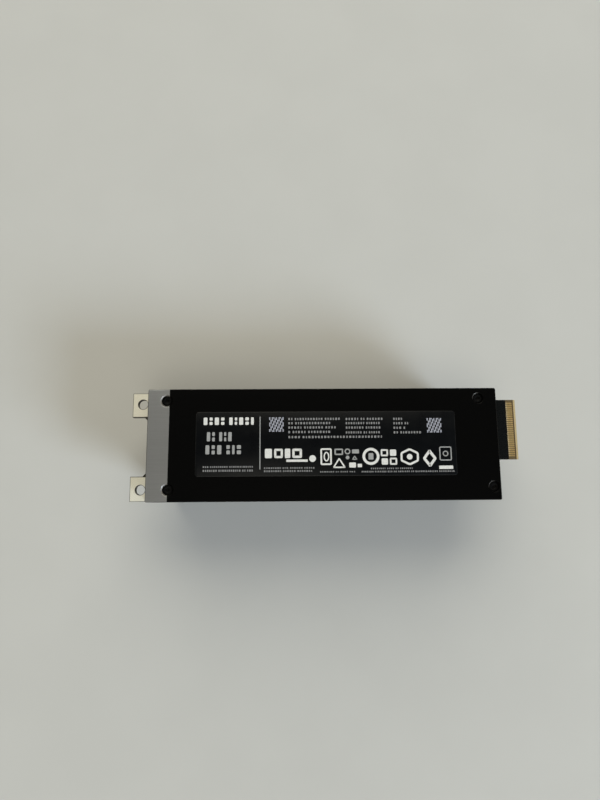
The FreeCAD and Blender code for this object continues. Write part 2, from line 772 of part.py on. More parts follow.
def power_supply():
    """Hold-up capacitor bank, the power manager and its inductors, on the board's lower face."""
    for index in range(HOLDUP_COLUMN_COUNT * HOLDUP_ROW_COUNT):
        column, row = divmod(index, HOLDUP_ROW_COUNT)
        along = f"({FRONT} + holdup_start + holdup_length / 2 + {column} * (holdup_length + holdup_gap))"
        across = f"({MIDDLE} + {row - (HOLDUP_ROW_COUNT - 1) / 2} * (holdup_width + holdup_gap))"
        strapped_package(f"holdup_capacitor_{index + 1}", "holdup_length", "holdup_width", "holdup_height",
                         (along, across), SEAT, True)
    package("power_manager", "manager_size", "manager_size", "manager_height",
            (POWER_LINE, MANAGER_LINE), SEAT, True)
    for index in range(INDUCTOR_COUNT):
        across = (f"({MANAGER_LINE} + manager_size / 2 + inductor_gap + inductor_size / 2"
                  f" + {index} * (inductor_size + inductor_gap))")
        inductor(f"power_inductor_{index + 1}", (POWER_LINE, across))


def inductor(label, station):
    """Pressed-powder inductor with rounded corners, hung under the board."""
    body = new_body(label)
    place(body, f"{station[0]} - inductor_size / 2", f"{station[1]} - inductor_size / 2",
          f"{SEAT} - inductor_height")
    low, high = ("0", "0"), ("inductor_size", "inductor_size")
    pad(body, rectangle(body, f"{label}_outline", low, high, "0"), f"{label}_block", "inductor_height")
    corners = [(x, y) for x in (low[0], high[0]) for y in (low[1], high[1])]
    fillet(body, f"{label}_corners", upright_edges(body, corners), "inductor_corner")


def connector_protection():
    """Hot-swap switch, surge clamp, temperature sensor and small capacitors on the upper face."""
    line = f"({REAR} - connector_gap)"
    package("hot_swap_switch", "switch_size", "switch_size", "switch_height",
            (line, f"({MIDDLE} + switch_offset)"), PARTING)
    strapped_package("surge_clamp", "clamp_length", "clamp_width", "clamp_height",
                     (line, f"({MIDDLE} - clamp_offset)"), PARTING)
    package("temperature_sensor", "sensor_size", "sensor_size", "sensor_height",
            (f"({FRONT} + sensor_setback)", f"({MIDDLE} + sensor_offset)"), PARTING)

    body = new_body("ceramic_capacitors")
    body.AllowCompound = True
    place(body, "0", "0", PARTING)
    for side in ("near", "far"):
        low = [f"({FRONT} + ceramic_start)", "ceramic_inset"]
        if side == "far":
            low[1] = "(body_width - ceramic_inset - ceramic_width)"
        high = (f"({low[0]} + ceramic_length)", f"({low[1]} + ceramic_width)")
        first = pad(body, rectangle(body, f"{side}_ceramic_outline", low, high, "0"), f"{side}_ceramic",
                    "ceramic_height")
        row_pattern(body, first, f"{side}_ceramics", "X_Axis", "(ceramic_count - 1) * ceramic_pitch",
                    "ceramic_count")


def status_lights():
    """Two lights at the board's front edge, each with a clear guide to the front face."""
    lens = ("led_depth - 2 * led_lens_inset", "led_length - 2 * led_lens_inset", "led_height")
    for index, across in enumerate(led_places(), start=1):
        along = f"({BOARD_FRONT} + led_edge_gap + led_depth / 2)"
        stepped_package(f"status_led_{index}", ("led_depth", "led_length", "led_base"), lens,
                        (along, across), PARTING)
        body = new_body(f"light_guide_{index}")
        place(body, "0", "0", PARTING)
        low = (f"({FRONT} + guide_recess)", f"({across} - guide_width / 2)")
        high = (f"({BOARD_FRONT} + led_edge_gap - guide_gap)", f"({across} + guide_width / 2)")
        pad(body, rectangle(body, f"guide_{index}_outline", low, high, "0"), f"guide_{index}", "guide_height")
        edges = upright_edges(body, [(low[0], low[1]), (low[0], high[1])])
        fillet(body, f"guide_{index}_nose", edges, "guide_edge_round")


def thermal_pads():
    """Soft pads that fill the gaps between the chips and the metal."""
    lower_heights = {"flash": "flash_height", "controller": "controller_height", "power": "manager_height"}
    for name, (low, high) in lower_pad_areas().items():
        thickness = f"(lower_room - {lower_heights[name]} - pedestal_height)"
        thermal_pad(f"thermal_pad_lower_{name}", low, high, thickness, f"({FLOOR} + pedestal_height)")
    upper_heights = {"flash": "flash_height", "memory": "memory_height"}
    for name, (low, high) in upper_pad_areas().items():
        thickness = f"({UPPER_ROOM} - {upper_heights[name]} - cover_pedestal)"
        thermal_pad(f"thermal_pad_upper_{name}", low, high, thickness, f"({PARTING} + {upper_heights[name]})")


def thermal_pad(label, low, high, thickness, level):
    """One pad that fills its plan area, from a level upward."""
    item = keep(doc.addObject("Part::Box", label), label)
    bind(item, "Length", f"{high[0]} - {low[0]}")
    bind(item, "Width", f"{high[1]} - {low[1]}")
    bind(item, "Height", thickness)
    place(item, low[0], low[1], level)


def check_document():
    """Stop if any object failed or any sub-part has no sound solid."""
    for item in doc.Objects:
        if "Invalid" in item.State or "Error" in item.State:
            raise ValueError(f"{item.Label} failed: {item.State}")
    for piece in pieces:
        shape = piece.Shape
        if shape.isNull() or not shape.isValid() or not shape.Solids:
            raise ValueError(f"{piece.Label} has no sound solid")


def export():
    """Write each sub-part to its own file."""
    os.makedirs("parts", exist_ok=True)
    for piece in pieces:
        piece.Shape.exportStep(f"parts/{piece.Label}.step")


def main():
    fill_sheet()
    heat_sink()
    top_cover()
    cover_screws()
    drive_label()
    circuit_board()
    contact_row("edge_contacts_top", PARTING)
    contact_row("edge_contacts_bottom", f"{SEAT} - contact_thickness")
    chips()
    power_supply()
    connector_protection()
    status_lights()
    thermal_pads()
    doc.recompute()
    check_document()
    export()


main()
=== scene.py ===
"""Looks of a finned solid state drive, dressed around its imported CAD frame."""

import json
import logging
import math
from dataclasses import dataclass, field
from enum import Enum
from functools import reduce
from typing import Callable, Iterable, Sequence

import bmesh
import bpy
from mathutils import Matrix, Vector


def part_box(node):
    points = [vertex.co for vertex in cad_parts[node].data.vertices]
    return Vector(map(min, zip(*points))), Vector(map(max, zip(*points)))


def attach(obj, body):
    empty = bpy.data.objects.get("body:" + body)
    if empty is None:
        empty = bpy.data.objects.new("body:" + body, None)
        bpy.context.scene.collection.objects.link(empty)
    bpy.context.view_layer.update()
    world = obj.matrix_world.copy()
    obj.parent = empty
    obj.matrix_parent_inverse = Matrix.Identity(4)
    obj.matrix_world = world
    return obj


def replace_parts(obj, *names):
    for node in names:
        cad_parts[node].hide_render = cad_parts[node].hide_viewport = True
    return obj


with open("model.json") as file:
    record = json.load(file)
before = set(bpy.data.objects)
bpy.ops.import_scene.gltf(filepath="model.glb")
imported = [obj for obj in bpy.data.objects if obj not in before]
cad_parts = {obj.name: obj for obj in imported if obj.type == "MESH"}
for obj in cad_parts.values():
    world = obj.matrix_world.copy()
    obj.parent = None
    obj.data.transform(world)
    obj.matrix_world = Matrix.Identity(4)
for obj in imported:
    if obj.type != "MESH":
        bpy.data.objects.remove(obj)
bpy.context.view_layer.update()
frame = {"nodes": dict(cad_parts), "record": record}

LOG = logging.getLogger("drive")
BODY = "root"
MM = 0.001
SAME_LEVEL = 1e-7
FACING_DOWN = -0.9
NOISE_RANGE = (0.3, 0.7)

Colour = tuple[float, float, float]
Span = tuple[float, float]
Spot = tuple[float, float]
Block = tuple[float, float, float, float]
Socket = bpy.types.NodeSocket
Value = Socket | float | Sequence[float]


class Tone(Enum):
    """Inks of the label's print, each with the name of its material."""

    WHITE = "white_ink"
    GRAY = "gray_ink"
    FINE = "fine_ink"
    CELL = "cell_ink"


class Mark(Enum):
    """Plain shapes that stand in the label's row of marks."""

    FRAME = "frame"
    BLOCK = "block"
    RING = "ring"
    DISC = "disc"
    TRIANGLE = "triangle"
    HEXAGON = "hexagon"
    LOZENGE = "lozenge"


class Mix(Enum):
    """Kinds of value that a shader mixes, each by the Mix node's name for it."""

    NUMBER = "FLOAT"
    COLOUR = "RGBA"


class Element(Enum):
    """Parts of a mesh that a test can select."""

    EDGE = "EDGE"
    FACE = "FACE"


class Shader:
    """Node graph of one material, worked from the object's own coordinates to its surface."""

    # The Mix node's sockets share their names, so both inputs and the result are known by number.
    MIX_PLACES = {Mix.NUMBER: (2, 3, 0), Mix.COLOUR: (6, 7, 2)}

    def __init__(self, name: str) -> None:
        """Start a material with a surface, an output and the object's coordinates.

        Args:
            name: The material's name.
        """
        self.material = bpy.data.materials.new(name)
        self.material.use_nodes = True
        self.tree = self.material.node_tree
        self.tree.nodes.clear()
        self.surface = self.node("ShaderNodeBsdfPrincipled")
        output = self.node("ShaderNodeOutputMaterial")
        self.feed(output.inputs["Surface"], self.surface.outputs["BSDF"])
        self.place = self.node("ShaderNodeTexCoord").outputs["Object"]
        self.axes = self.node("ShaderNodeSeparateXYZ")
        self.feed(self.axes.inputs[0], self.place)

    def node(self, kind: str, **settings: object) -> bpy.types.Node:
        """Add a node.

        Args:
            kind: The node's type name.
            settings: Properties to set on it.

        Returns:
            The new node.
        """
        made = self.tree.nodes.new(kind)
        for key, value in settings.items():
            setattr(made, key, value)
        return made

    def feed(self, socket: Socket, value: Value) -> None:
        """Link a socket into an input, or set a plain value on it.

        Args:
            socket: The input.
            value: The output to link to it, or its number or colour.
        """
        if isinstance(value, bpy.types.NodeSocket):
            self.tree.links.new(value, socket)
        elif socket.type == "RGBA":
            socket.default_value = (*value, 1.0)
        else:
            socket.default_value = value

    def set(self, **values: Value) -> None:
        """Set the surface's inputs, each named by its label with underscores for spaces."""
        for key, value in values.items():
            self.feed(self.surface.inputs[key.replace("_", " ")], value)

    def axis(self, letter: str) -> Socket:
        """One coordinate of the object, in metres."""
        return self.axes.outputs[letter]

    def calc(self, operation: str, first: Value, second: Value = 0.0) -> Socket:
        """Do one step of arithmetic.

        Args:
            operation: The step, by the Math node's name for it.
            first: Socket or number.
            second: Socket or number, where the step takes two.

        Returns:
            The result.
        """
        made = self.node("ShaderNodeMath", operation=operation)
        self.feed(made.inputs[0], first)
        self.feed(made.inputs[1], second)
        return made.outputs[0]

    def join(self, operation: str, values: Sequence[Value]) -> Socket:
        """Carry one kind of step through a row of values."""
        return reduce(lambda first, second: self.calc(operation, first, second), values)

    def offset(self, letter: str, centre: float) -> Socket:
        """How far the surface lies past a place along one axis, in metres."""
        return self.calc("SUBTRACT", self.axis(letter), centre)

    def wavy_x(self, wave: float, height: float) -> Socket:
        """Coordinate along X that wavers, for edges that aren't ruled straight."""
        return self.calc("ADD", self.axis("X"), self.calc("MULTIPLY", self.noise(wave), height))

    def length(self, along: Socket, across: Socket) -> Socket:
        """Length of a step in plan, in metres."""
        squares = [self.calc("POWER", part, 2.0) for part in (along, across)]
        return self.calc("SQRT", self.join("ADD", squares))

    def reach(self, spot: Spot) -> Socket:
        """Distance in plan from a spot, in metres."""
        return self.length(self.offset("X", spot[0]), self.offset("Y", spot[1]))

    def noise(self, size: float, detail: float = 2.0, vector: Socket | None = None) -> Socket:
        """Make cloudy noise.

        Args:
            size: Width of one cloud, in metres.
            detail: How many finer layers it has.
            vector: Coordinates to read in place of the object's own.

        Returns:
            The noise, from 0 to 1 about one half.
        """
        made = self.node("ShaderNodeTexNoise", noise_dimensions="3D")
        self.feed(made.inputs["Vector"], self.place if vector is None else vector)
        self.feed(made.inputs["Scale"], 1.0 / size)
        self.feed(made.inputs["Detail"], detail)
        return made.outputs[0]

    def streaks(self, scale: Sequence[float], detail: float = 3.0) -> Socket:
        """Make noise that is drawn out along the axes, for brushed, woven and flowing surfaces.

        Args:
            scale: Streaks to a metre along each axis.
            detail: How many finer layers they have.

        Returns:
            The noise, from 0 to 1 about one half.
        """
        made = self.node("ShaderNodeMapping", vector_type="POINT")
        self.feed(made.inputs["Vector"], self.place)
        self.feed(made.inputs["Scale"], scale)
        return self.noise(1.0, detail=detail, vector=made.outputs[0])

    def ramp(self, value: Socket, low: float, high: float, start: float = 0.0, end: float = 1.0) -> Socket:
        """Step smoothly from start to end as a value goes from low to high.

        Args:
            value: The value to follow.
            low: Where the step starts; it may be above high, for a step down.
            high: Where the step ends.
            start: What comes out before it.
            end: What comes out after it.

        Returns:
            The stepped value.
        """
        made = self.node("ShaderNodeMapRange", interpolation_type="SMOOTHSTEP")
        self.feed(made.inputs["Value"], value)
        for key, number in (("From Min", low), ("From Max", high), ("To Min", start), ("To Max", end)):
            self.feed(made.inputs[key], number)
        return made.outputs[0]

    def spread(self, noise: Socket, start: float = 0.0, end: float = 1.0) -> Socket:
        """Noise drawn out over its usual range, from start to end."""
        return self.ramp(noise, *NOISE_RANGE, start, end)

    def mix(self, kind: Mix, share: Value, first: Value, second: Value) -> Socket:
        """Mix two values.

        Args:
            kind: Whether they are numbers or colours.
            share: How much of the second there is, from 0 to 1.
            first: Socket, number or colour.
            second: Socket, number or colour.

        Returns:
            The mix.
        """
        made = self.node("ShaderNodeMix", data_type=kind.value, clamp_factor=True)
        first_input, second_input, result = self.MIX_PLACES[kind]
        self.feed(made.inputs[0], share)
        self.feed(made.inputs[first_input], first)
        self.feed(made.inputs[second_input], second)
        return made.outputs[result]

    def blend(self, share: Value, first: Value, second: Value) -> Socket:
        """Mix of two colours."""
        return self.mix(Mix.COLOUR, share, first, second)

    def pick(self, share: Value, first: Value, second: Value) -> Socket:
        """Mix of two numbers."""
        return self.mix(Mix.NUMBER, share, first, second)

    def soft_edges(self, radius: float) -> Socket:
        """Round the edges off.

        Args:
            radius: Radius of the edges, in metres.

        Returns:
            The rounded normals.
        """
        made = self.node("ShaderNodeBevel", samples=6)
        self.feed(made.inputs["Radius"], radius)
        return made.outputs[0]

    def edge_share(self, rounded: Socket) -> Socket:
        """Find the edges.

        Args:
            rounded: Normals with soft edges.

        Returns:
            How near an edge the surface is, from 0 on a flat face to 1.
        """
        made = self.node("ShaderNodeVectorMath", operation="DOT_PRODUCT")
        self.feed(made.inputs[0], rounded)
        self.feed(made.inputs[1], self.node("ShaderNodeNewGeometry").outputs["Normal"])
        return self.ramp(made.outputs["Value"], low=0.999, high=0.86)

    def relief(self, height: Socket, depth: float, under: Socket | None = None) -> Socket:
        """Lay a fine relief on the surface.

        Args:
            height: The relief, from 0 to 1.
            depth: Its depth in metres.
            under: Normals that it lies on, if not the mesh's own.

        Returns:
            The bumped normals.
        """
        made = self.node("ShaderNodeBump")
        self.feed(made.inputs["Distance"], depth)
        self.feed(made.inputs["Height"], height)
        if under is not None:
            self.feed(made.inputs["Normal"], under)
        return made.outputs[0]


@dataclass(frozen=True, kw_only=True)
class Finish:
    """Surface that pieces get, made as a procedural material."""

    name: str

    def make(self) -> bpy.types.Material:
        """Build the material.

        Returns:
            The finished material.
        """
        shader = Shader(self.name)
        self.paint(shader)
        return shader.material

    def paint(self, shader: Shader) -> None:
        """Work the surface, which each finish does in its own way."""
        raise NotImplementedError(self.name)


@dataclass(frozen=True)
class Skin:
    """What a coated surface shows: its colour, metallic share, roughness and relief."""

    colour: Value
    metallic: Value
    gloss: Value
    height: Socket


@dataclass(frozen=True, kw_only=True)
class CoatedMetal(Finish):
    """Blasted aluminium under a black matt coat, worn at its edges."""

    coat: Colour = (0.0012, 0.0012, 0.0012)
    coat_worn: Colour = (0.008, 0.008, 0.008)
    coat_gloss: Span = (0.33, 0.42)
    sheen: float = 0.055
    grain: float = 0.16 * MM
    grain_depth: float = 0.0025 * MM
    edge_round: float = 0.09 * MM
    wear_patch: float = 6.0 * MM

    def paint(self, shader: Shader) -> None:
        """Coat the metal and wear the coat.

        Args:
            shader: The material being built.
        """
        grain = shader.noise(self.grain, detail=3.0)
        rounded = shader.soft_edges(self.edge_round)
        patches = shader.ramp(shader.noise(self.wear_patch, detail=3.0), low=0.35, high=0.75)
        wear = shader.calc("MULTIPLY", shader.edge_share(rounded), patches)
        coat = Skin(colour=shader.blend(wear, self.coat, self.coat_worn), metallic=0.0,
                    gloss=shader.spread(grain, *self.coat_gloss), height=grain)
        skin = self.uncoated(shader, coat)
        shader.set(Base_Color=skin.colour, Metallic=skin.metallic, Roughness=skin.gloss,
                   Specular_IOR_Level=self.sheen,
                   Normal=shader.relief(skin.height, self.grain_depth, rounded))

    def uncoated(self, shader: Shader, coat: Skin) -> Skin:
        """The coat, with bare metal over it where a piece has any."""
        return coat


@dataclass(frozen=True, kw_only=True)
class CoverMetal(CoatedMetal):
    """Coated cover with a band left bare across its front end, painted shade on the band's chamfers and bore
    walls and painted highlights on the far front side of its bores.
    """

    name: str = "cover_coat"
    front: float
    face: float
    front_bores: tuple[Spot, ...]
    rear_bores: tuple[Spot, ...]
    band: float = 6.52 * MM
    wave: float = 0.5 * MM
    wave_height: float = 0.08 * MM
    bore_radius: float = 1.55 * MM
    rim_radius: float = 1.75 * MM
    mouth_radius: float = 1.9 * MM
    bare: Colour = (0.465, 0.475, 0.495)
    bare_dark: Colour = (0.43, 0.44, 0.46)
    bare_gloss: Span = (0.36, 0.40)
    brush: tuple[float, float, float] = (90.0, 5200.0, 2600.0)
    # Painted shade: colour of the bare band's chamfers and bore walls, below its top face.
    bevel: Colour = (0.13, 0.13, 0.125)
    bevel_gloss: float = 0.62
    # Painted highlight colour on the front bores' mouths, and the span over which it reaches their far front
    # side.
    mouth_highlight: Colour = (0.33, 0.305, 0.275)
    mouth_highlight_side: Span = (-0.6 * MM, 1.4 * MM)
    # Painted highlight colour and metallic share on the rear bores' edges, and the span over which it
    # reaches their far front side.
    pale_edge: Colour = (0.14, 0.13, 0.118)
    rim_glint_metallic: float = 0.9
    rim_glint_side: Span = (1.2 * MM, 2.2 * MM)

    def uncoated(self, shader: Shader, coat: Skin) -> Skin:
        """Bare the front band down to the bores' walls, with painted shade and a painted highlight in its
        bores, and paint a highlight on the rear bores' edges.

        Args:
            shader: The material being built.
            coat: The coat all over.

        Returns:
            The coat with its bare places.
        """
        brush = shader.streaks(self.brush)
        band = self.band_share(shader)
        rim_glint = self.rim_glint_share(shader)
        # Below the top face the band has painted shade on its chamfers and bore walls, with the painted
        # highlight at the front bores' mouths.
        flat = shader.ramp(shader.axis("Z"), self.face - 0.03 * MM, self.face - 0.01 * MM)
        metal = shader.blend(shader.ramp(brush, low=0.3, high=0.75), self.bare, self.bare_dark)
        bevel = shader.blend(self.mouth_highlight_share(shader), self.bevel, self.mouth_highlight)
        colour = shader.blend(band, coat.colour, shader.blend(flat, bevel, metal))
        metal_gloss = shader.pick(flat, self.bevel_gloss, shader.ramp(brush, 0.3, 0.75, *self.bare_gloss))
        # Painted highlight on the edges of the rear bores, on their far front side.
        return Skin(colour=shader.blend(rim_glint, colour, self.pale_edge),
                    metallic=shader.pick(rim_glint, band, self.rim_glint_metallic),
                    gloss=shader.pick(band, coat.gloss, metal_gloss), height=coat.height)

    def band_share(self, shader: Shader) -> Socket:
        """Find the bare band, which has a slightly wavy edge and stops at the walls of the bores.

        Args:
            shader: The material being built.

        Returns:
            The share of bare metal.
        """
        along = shader.wavy_x(self.wave, self.wave_height)
        edge = self.front + self.band
        shares = [shader.ramp(along, edge + 0.03 * MM, edge - 0.03 * MM)]
        for bore in self.front_bores:
            wall = self.bore_radius
            shares.append(shader.ramp(shader.reach(bore), wall + 0.01 * MM, wall + 0.04 * MM))
        return shader.join("MULTIPLY", shares)

    def mouth_highlight_share(self, shader: Shader) -> Socket:
        """Find the mouths of the front bores, with a painted highlight on the far front side that faces the
        key lamp.

        Args:
            shader: The material being built.

        Returns:
            The share of painted highlight.
        """
        shares = []
        for bore in self.front_bores:
            inside = shader.ramp(shader.reach(bore), self.mouth_radius + 0.03 * MM, self.mouth_radius)
            # The far front side of each mouth gets the painted highlight, with a tenth of it elsewhere.
            worn = shader.ramp(self.far_front(shader, bore), *self.mouth_highlight_side, start=0.1)
            shares.append(shader.calc("MULTIPLY", inside, worn))
        return shader.join("ADD", shares)

    def rim_glint_share(self, shader: Shader) -> Socket:
        """Find a painted highlight on the edge of each rear bore, on the far front side that faces the key
        lamp.

        Args:
            shader: The material being built.

        Returns:
            The share of painted highlight.
        """
        shares = []
        for bore in self.rear_bores:
            reach = shader.reach(bore)
            outside = shader.ramp(reach, self.bore_radius, self.bore_radius + 0.05 * MM)
            inside = shader.ramp(reach, self.rim_radius + 0.02 * MM, self.rim_radius - 0.04 * MM)
            # Only the far front side of each rear bore's edge gets the painted highlight.
            worn = shader.ramp(self.far_front(shader, bore), *self.rim_glint_side)
            shares.append(shader.join("MULTIPLY", [outside, inside, worn]))
        return shader.join("ADD", shares)

    def far_front(self, shader: Shader, bore: Spot) -> Socket:
        """How far the surface lies towards the far front side of a bore, the side whose slopes face the key
        lamp, in metres.
        """
        return shader.calc("SUBTRACT", shader.offset("Y", bore[1]), shader.offset("X", bore[0]))


@dataclass(frozen=True, kw_only=True)
class EaredMetal(CoatedMetal):
    """Coated heat sink whose two ears are milled bare on their upper face."""

    name: str = "heat_sink_coat"
    sheen: float = 0.2
    root: float
    tip: float
    level: float
    sides: Span
    hole: Spot
    hole_radius: float
    ear_metal: Colour = (0.88, 0.86, 0.77)
    ear_metal_dark: Colour = (0.78, 0.76, 0.66)
    ear_metallic: float = 0.5
    ear_gloss: Span = (0.50, 0.62)
    # Dark margin round the ears' faces and holes: partly the coat left on the broken edges, partly painted
    # shade.
    ear_break_and_shade: Colour = (0.03, 0.026, 0.02)
    broken: float = 0.17 * MM
    # Painted shade: the dark margin is wider along the ears' inner sides.
    shaded_inner_margin: float = 0.28 * MM
    ring_pitch: float = 0.55 * MM
    ring_share: float = 0.2
    ring_wave: float = 1.2 * MM
    ring_wave_height: float = 0.4 * MM
    smear: float = 0.8 * MM
    smear_share: float = 0.9

    def uncoated(self, shader: Shader, coat: Skin) -> Skin:
        """Bare the upper face of the ears, with the cutter's rings on it and a dark margin at its edges and
        holes, partly the coat on the broken edges and partly painted shade.

        Args:
            shader: The material being built.
            coat: The coat all over.

        Returns:
            The coat with the bare ears.
        """
        before = shader.ramp(shader.axis("X"), self.root + 0.005 * MM, self.root - 0.055 * MM)
        upper = shader.ramp(shader.axis("Z"), self.level - 0.05 * MM, self.level - 0.02 * MM)
        ear = shader.calc("MULTIPLY", before, upper)
        rings = self.turning_marks(shader)
        metal = shader.blend(rings, self.ear_metal, self.ear_metal_dark)
        # Dark margin at the ears' outline and holes, partly coat and partly painted shade.
        face = shader.blend(self.inside_edges(shader), self.ear_break_and_shade, metal)
        gloss = shader.ramp(rings, 0.0, 1.0, *self.ear_gloss)
        return Skin(colour=shader.blend(ear, coat.colour, face),
                    metallic=shader.calc("MULTIPLY", ear, self.ear_metallic),
                    gloss=shader.pick(ear, coat.gloss, gloss), height=shader.pick(ear, coat.height, rings))

    def hole_reach(self, shader: Shader) -> Socket:
        """Distance in plan from the hole of either ear, in metres."""
        across = shader.calc("SUBTRACT", shader.calc("ABSOLUTE", shader.axis("Y")), self.hole[1])
        return shader.length(shader.offset("X", self.hole[0]), across)

    def inside_edges(self, shader: Shader) -> Socket:
        """Find what lies clear of the ears' outline and holes, inside the dark margin that is partly coat
        and partly painted shade.

        Args:
            shader: The material being built.

        Returns:
            The share of clear face.
        """
        across = shader.calc("ABSOLUTE", shader.axis("Y"))
        inner, outer = self.sides
        near, clear = 0.4 * self.broken, self.broken
        return shader.join("MULTIPLY", [
            shader.ramp(shader.axis("X"), self.tip + near, self.tip + clear),
            shader.ramp(across, inner + near, inner + self.shaded_inner_margin),
            shader.ramp(across, outer - near, outer - clear),
            shader.ramp(self.hole_reach(shader), self.hole_radius + near, self.hole_radius + clear),
        ])

    def turning_marks(self, shader: Shader) -> Socket:
        """Draw the rings that the cutter left round the two ear holes.

        Args:
            shader: The material being built.

        Returns:
            The rings, from 0 to 1.
        """
        uneven = shader.calc("MULTIPLY", shader.noise(self.ring_wave), self.ring_wave_height)
        radius = shader.calc("ADD", self.hole_reach(shader), uneven)
        turns = shader.calc("SINE", shader.calc("MULTIPLY", radius, 2.0 * math.pi / self.ring_pitch))
        smear = shader.noise(self.smear, detail=3.0)
        return shader.calc("ADD", shader.calc("MULTIPLY", turns, self.ring_share),
                           shader.calc("MULTIPLY", smear, self.smear_share))


@dataclass(frozen=True, kw_only=True)
class BlackScrew(Finish):
    """Oxide-blacked steel with a dry, slightly uneven sheen."""

    name: str = "blacked_steel"
    colour: Colour = (0.0016, 0.0016, 0.0018)
    pale_edge: Colour = (0.010, 0.010, 0.010)
    gloss: Span = (0.34, 0.48)
    sheen: float = 0.1
    cloud: float = 0.4 * MM
    grain: float = 0.09 * MM
    depth: float = 0.003 * MM
    edge_round: float = 0.05 * MM

    def paint(self, shader: Shader) -> None:
        """Black the steel and rub its edges.

        Args:
            shader: The material being built.
        """
        cloud = shader.noise(self.cloud, detail=3.0)
        rounded = shader.soft_edges(self.edge_round)
        edge = shader.calc("MULTIPLY", shader.edge_share(rounded), shader.ramp(cloud, low=0.4, high=0.7))
        shader.set(Base_Color=shader.blend(edge, self.colour, self.pale_edge),
                   Roughness=shader.spread(cloud, *self.gloss), Specular_IOR_Level=self.sheen,
                   Normal=shader.relief(shader.noise(self.grain), self.depth, rounded))


@dataclass(frozen=True, kw_only=True)
class LabelFilm(Finish):
    """Dark printed film with a paler cut edge and a faint orange-peel surface."""

    name: str = "dark_film"
    low: Vector
    high: Vector
    colour: Colour = (0.0020, 0.0025, 0.0033)
    cut: Colour = (0.012, 0.012, 0.012)
    cut_width: float = 0.28 * MM
    gloss: Span = (0.27, 0.34)
    sheen: float = 0.14
    cloud: float = 3.0 * MM
    peel: float = 0.35 * MM
    depth: float = 0.0016 * MM

    def paint(self, shader: Shader) -> None:
        """Lay the dark film and pale its cut edge.

        Args:
            shader: The material being built.
        """
        middle = (self.low + self.high) / 2
        half = (self.high - self.low) / 2
        gaps = []
        for letter, centre, reach in (("X", middle.x, half.x), ("Y", middle.y, half.y)):
            past = shader.calc("ABSOLUTE", shader.offset(letter, centre))
            gaps.append(shader.calc("SUBTRACT", reach, past))
        rim = shader.ramp(shader.join("MINIMUM", gaps), self.cut_width, 0.4 * self.cut_width)
        cloud = shader.noise(self.cloud, detail=3.0)
        cut = shader.calc("MULTIPLY", rim, shader.ramp(cloud, 0.25, 0.65, start=0.45))
        shader.set(Base_Color=shader.blend(cut, self.colour, self.cut),
                   Roughness=shader.spread(cloud, *self.gloss), Specular_IOR_Level=self.sheen,
                   Normal=shader.relief(shader.noise(self.peel, detail=1.0), self.depth))


@dataclass(frozen=True, kw_only=True)
class Ink(Finish):
    """Screen-printed ink, a little thin and patchy."""

    colour: Colour
    thin: Colour
    gloss: Span = (0.48, 0.6)
    sheen: float = 0.3
    patch: float = 0.3 * MM
    cloud: float = 0.12 * MM
    tooth: float = 0.1 * MM
    depth: float = 0.001 * MM

    def paint(self, shader: Shader) -> None:
        """Print the ink with its thin patches.

        Args:
            shader: The material being built.
        """
        patch = shader.ramp(shader.noise(self.patch, detail=3.0), low=0.45, high=0.8)
        shader.set(Base_Color=shader.blend(patch, self.colour, self.thin),
                   Roughness=shader.spread(shader.noise(self.cloud), *self.gloss),
                   Specular_IOR_Level=self.sheen,
                   Normal=shader.relief(shader.noise(self.tooth), self.depth))


@dataclass(frozen=True, kw_only=True)
class BoardLaminate(Finish):
    """Glass laminate under dark solder mask, open under the fingers and bare on the bevelled edge."""

    name: str = "masked_laminate"
    tip: float
    fingers: Span
    bevel: float = 0.75 * MM
    trace_pitch: float = 0.6 * MM
    mask: Colour = (0.0026, 0.0034, 0.0038)
    trace: Colour = (0.0042, 0.0052, 0.0056)
    mask_gloss: Span = (0.24, 0.32)
    glass: Colour = (0.13, 0.095, 0.05)
    burnt: Colour = (0.085, 0.058, 0.030)
    bare: Colour = (0.44, 0.34, 0.18)
    bare_dark: Colour = (0.34, 0.25, 0.125)
    bare_gloss: float = 0.72
    weave: tuple[float, float, float] = (1300.0, 5200.0, 5200.0)
    sheen: float = 0.25
    cloud: float = 0.5 * MM
    depth: float = 0.004 * MM
    wave: float = 0.4 * MM
    wave_height: float = 0.05 * MM

    def paint(self, shader: Shader) -> None:
        """Lay the mask over the traces, open it under the fingers and bare the bevel.

        Args:
            shader: The material being built.
        """
        window, finger_end = self.fingers
        start = self.tip - self.bevel
        line = start - finger_end
        along = shader.wavy_x(self.wave, self.wave_height)
        opened = shader.ramp(along, window, window + 0.04 * MM)
        burnt = shader.ramp(along, start - 0.9 * line, start - 0.6 * line)
        bevel = shader.ramp(along, start - 0.01 * MM, start + 0.09 * MM)

        turn = shader.calc("MULTIPLY", shader.axis("Y"), 2.0 * math.pi / self.trace_pitch)
        traces = shader.ramp(shader.calc("SINE", turn), low=0.2, high=0.7)
        masked = shader.blend(opened, shader.blend(traces, self.mask, self.trace), self.glass)
        weave = shader.streaks(self.weave, detail=2.0)
        bare = shader.blend(shader.ramp(weave, low=0.35, high=0.7), self.bare, self.bare_dark)
        gloss = shader.spread(shader.noise(self.cloud), *self.mask_gloss)
        shader.set(Base_Color=shader.blend(bevel, shader.blend(burnt, masked, self.burnt), bare),
                   Roughness=shader.pick(bevel, gloss, self.bare_gloss), Specular_IOR_Level=self.sheen,
                   Normal=shader.relief(shader.pick(bevel, traces, weave), self.depth))


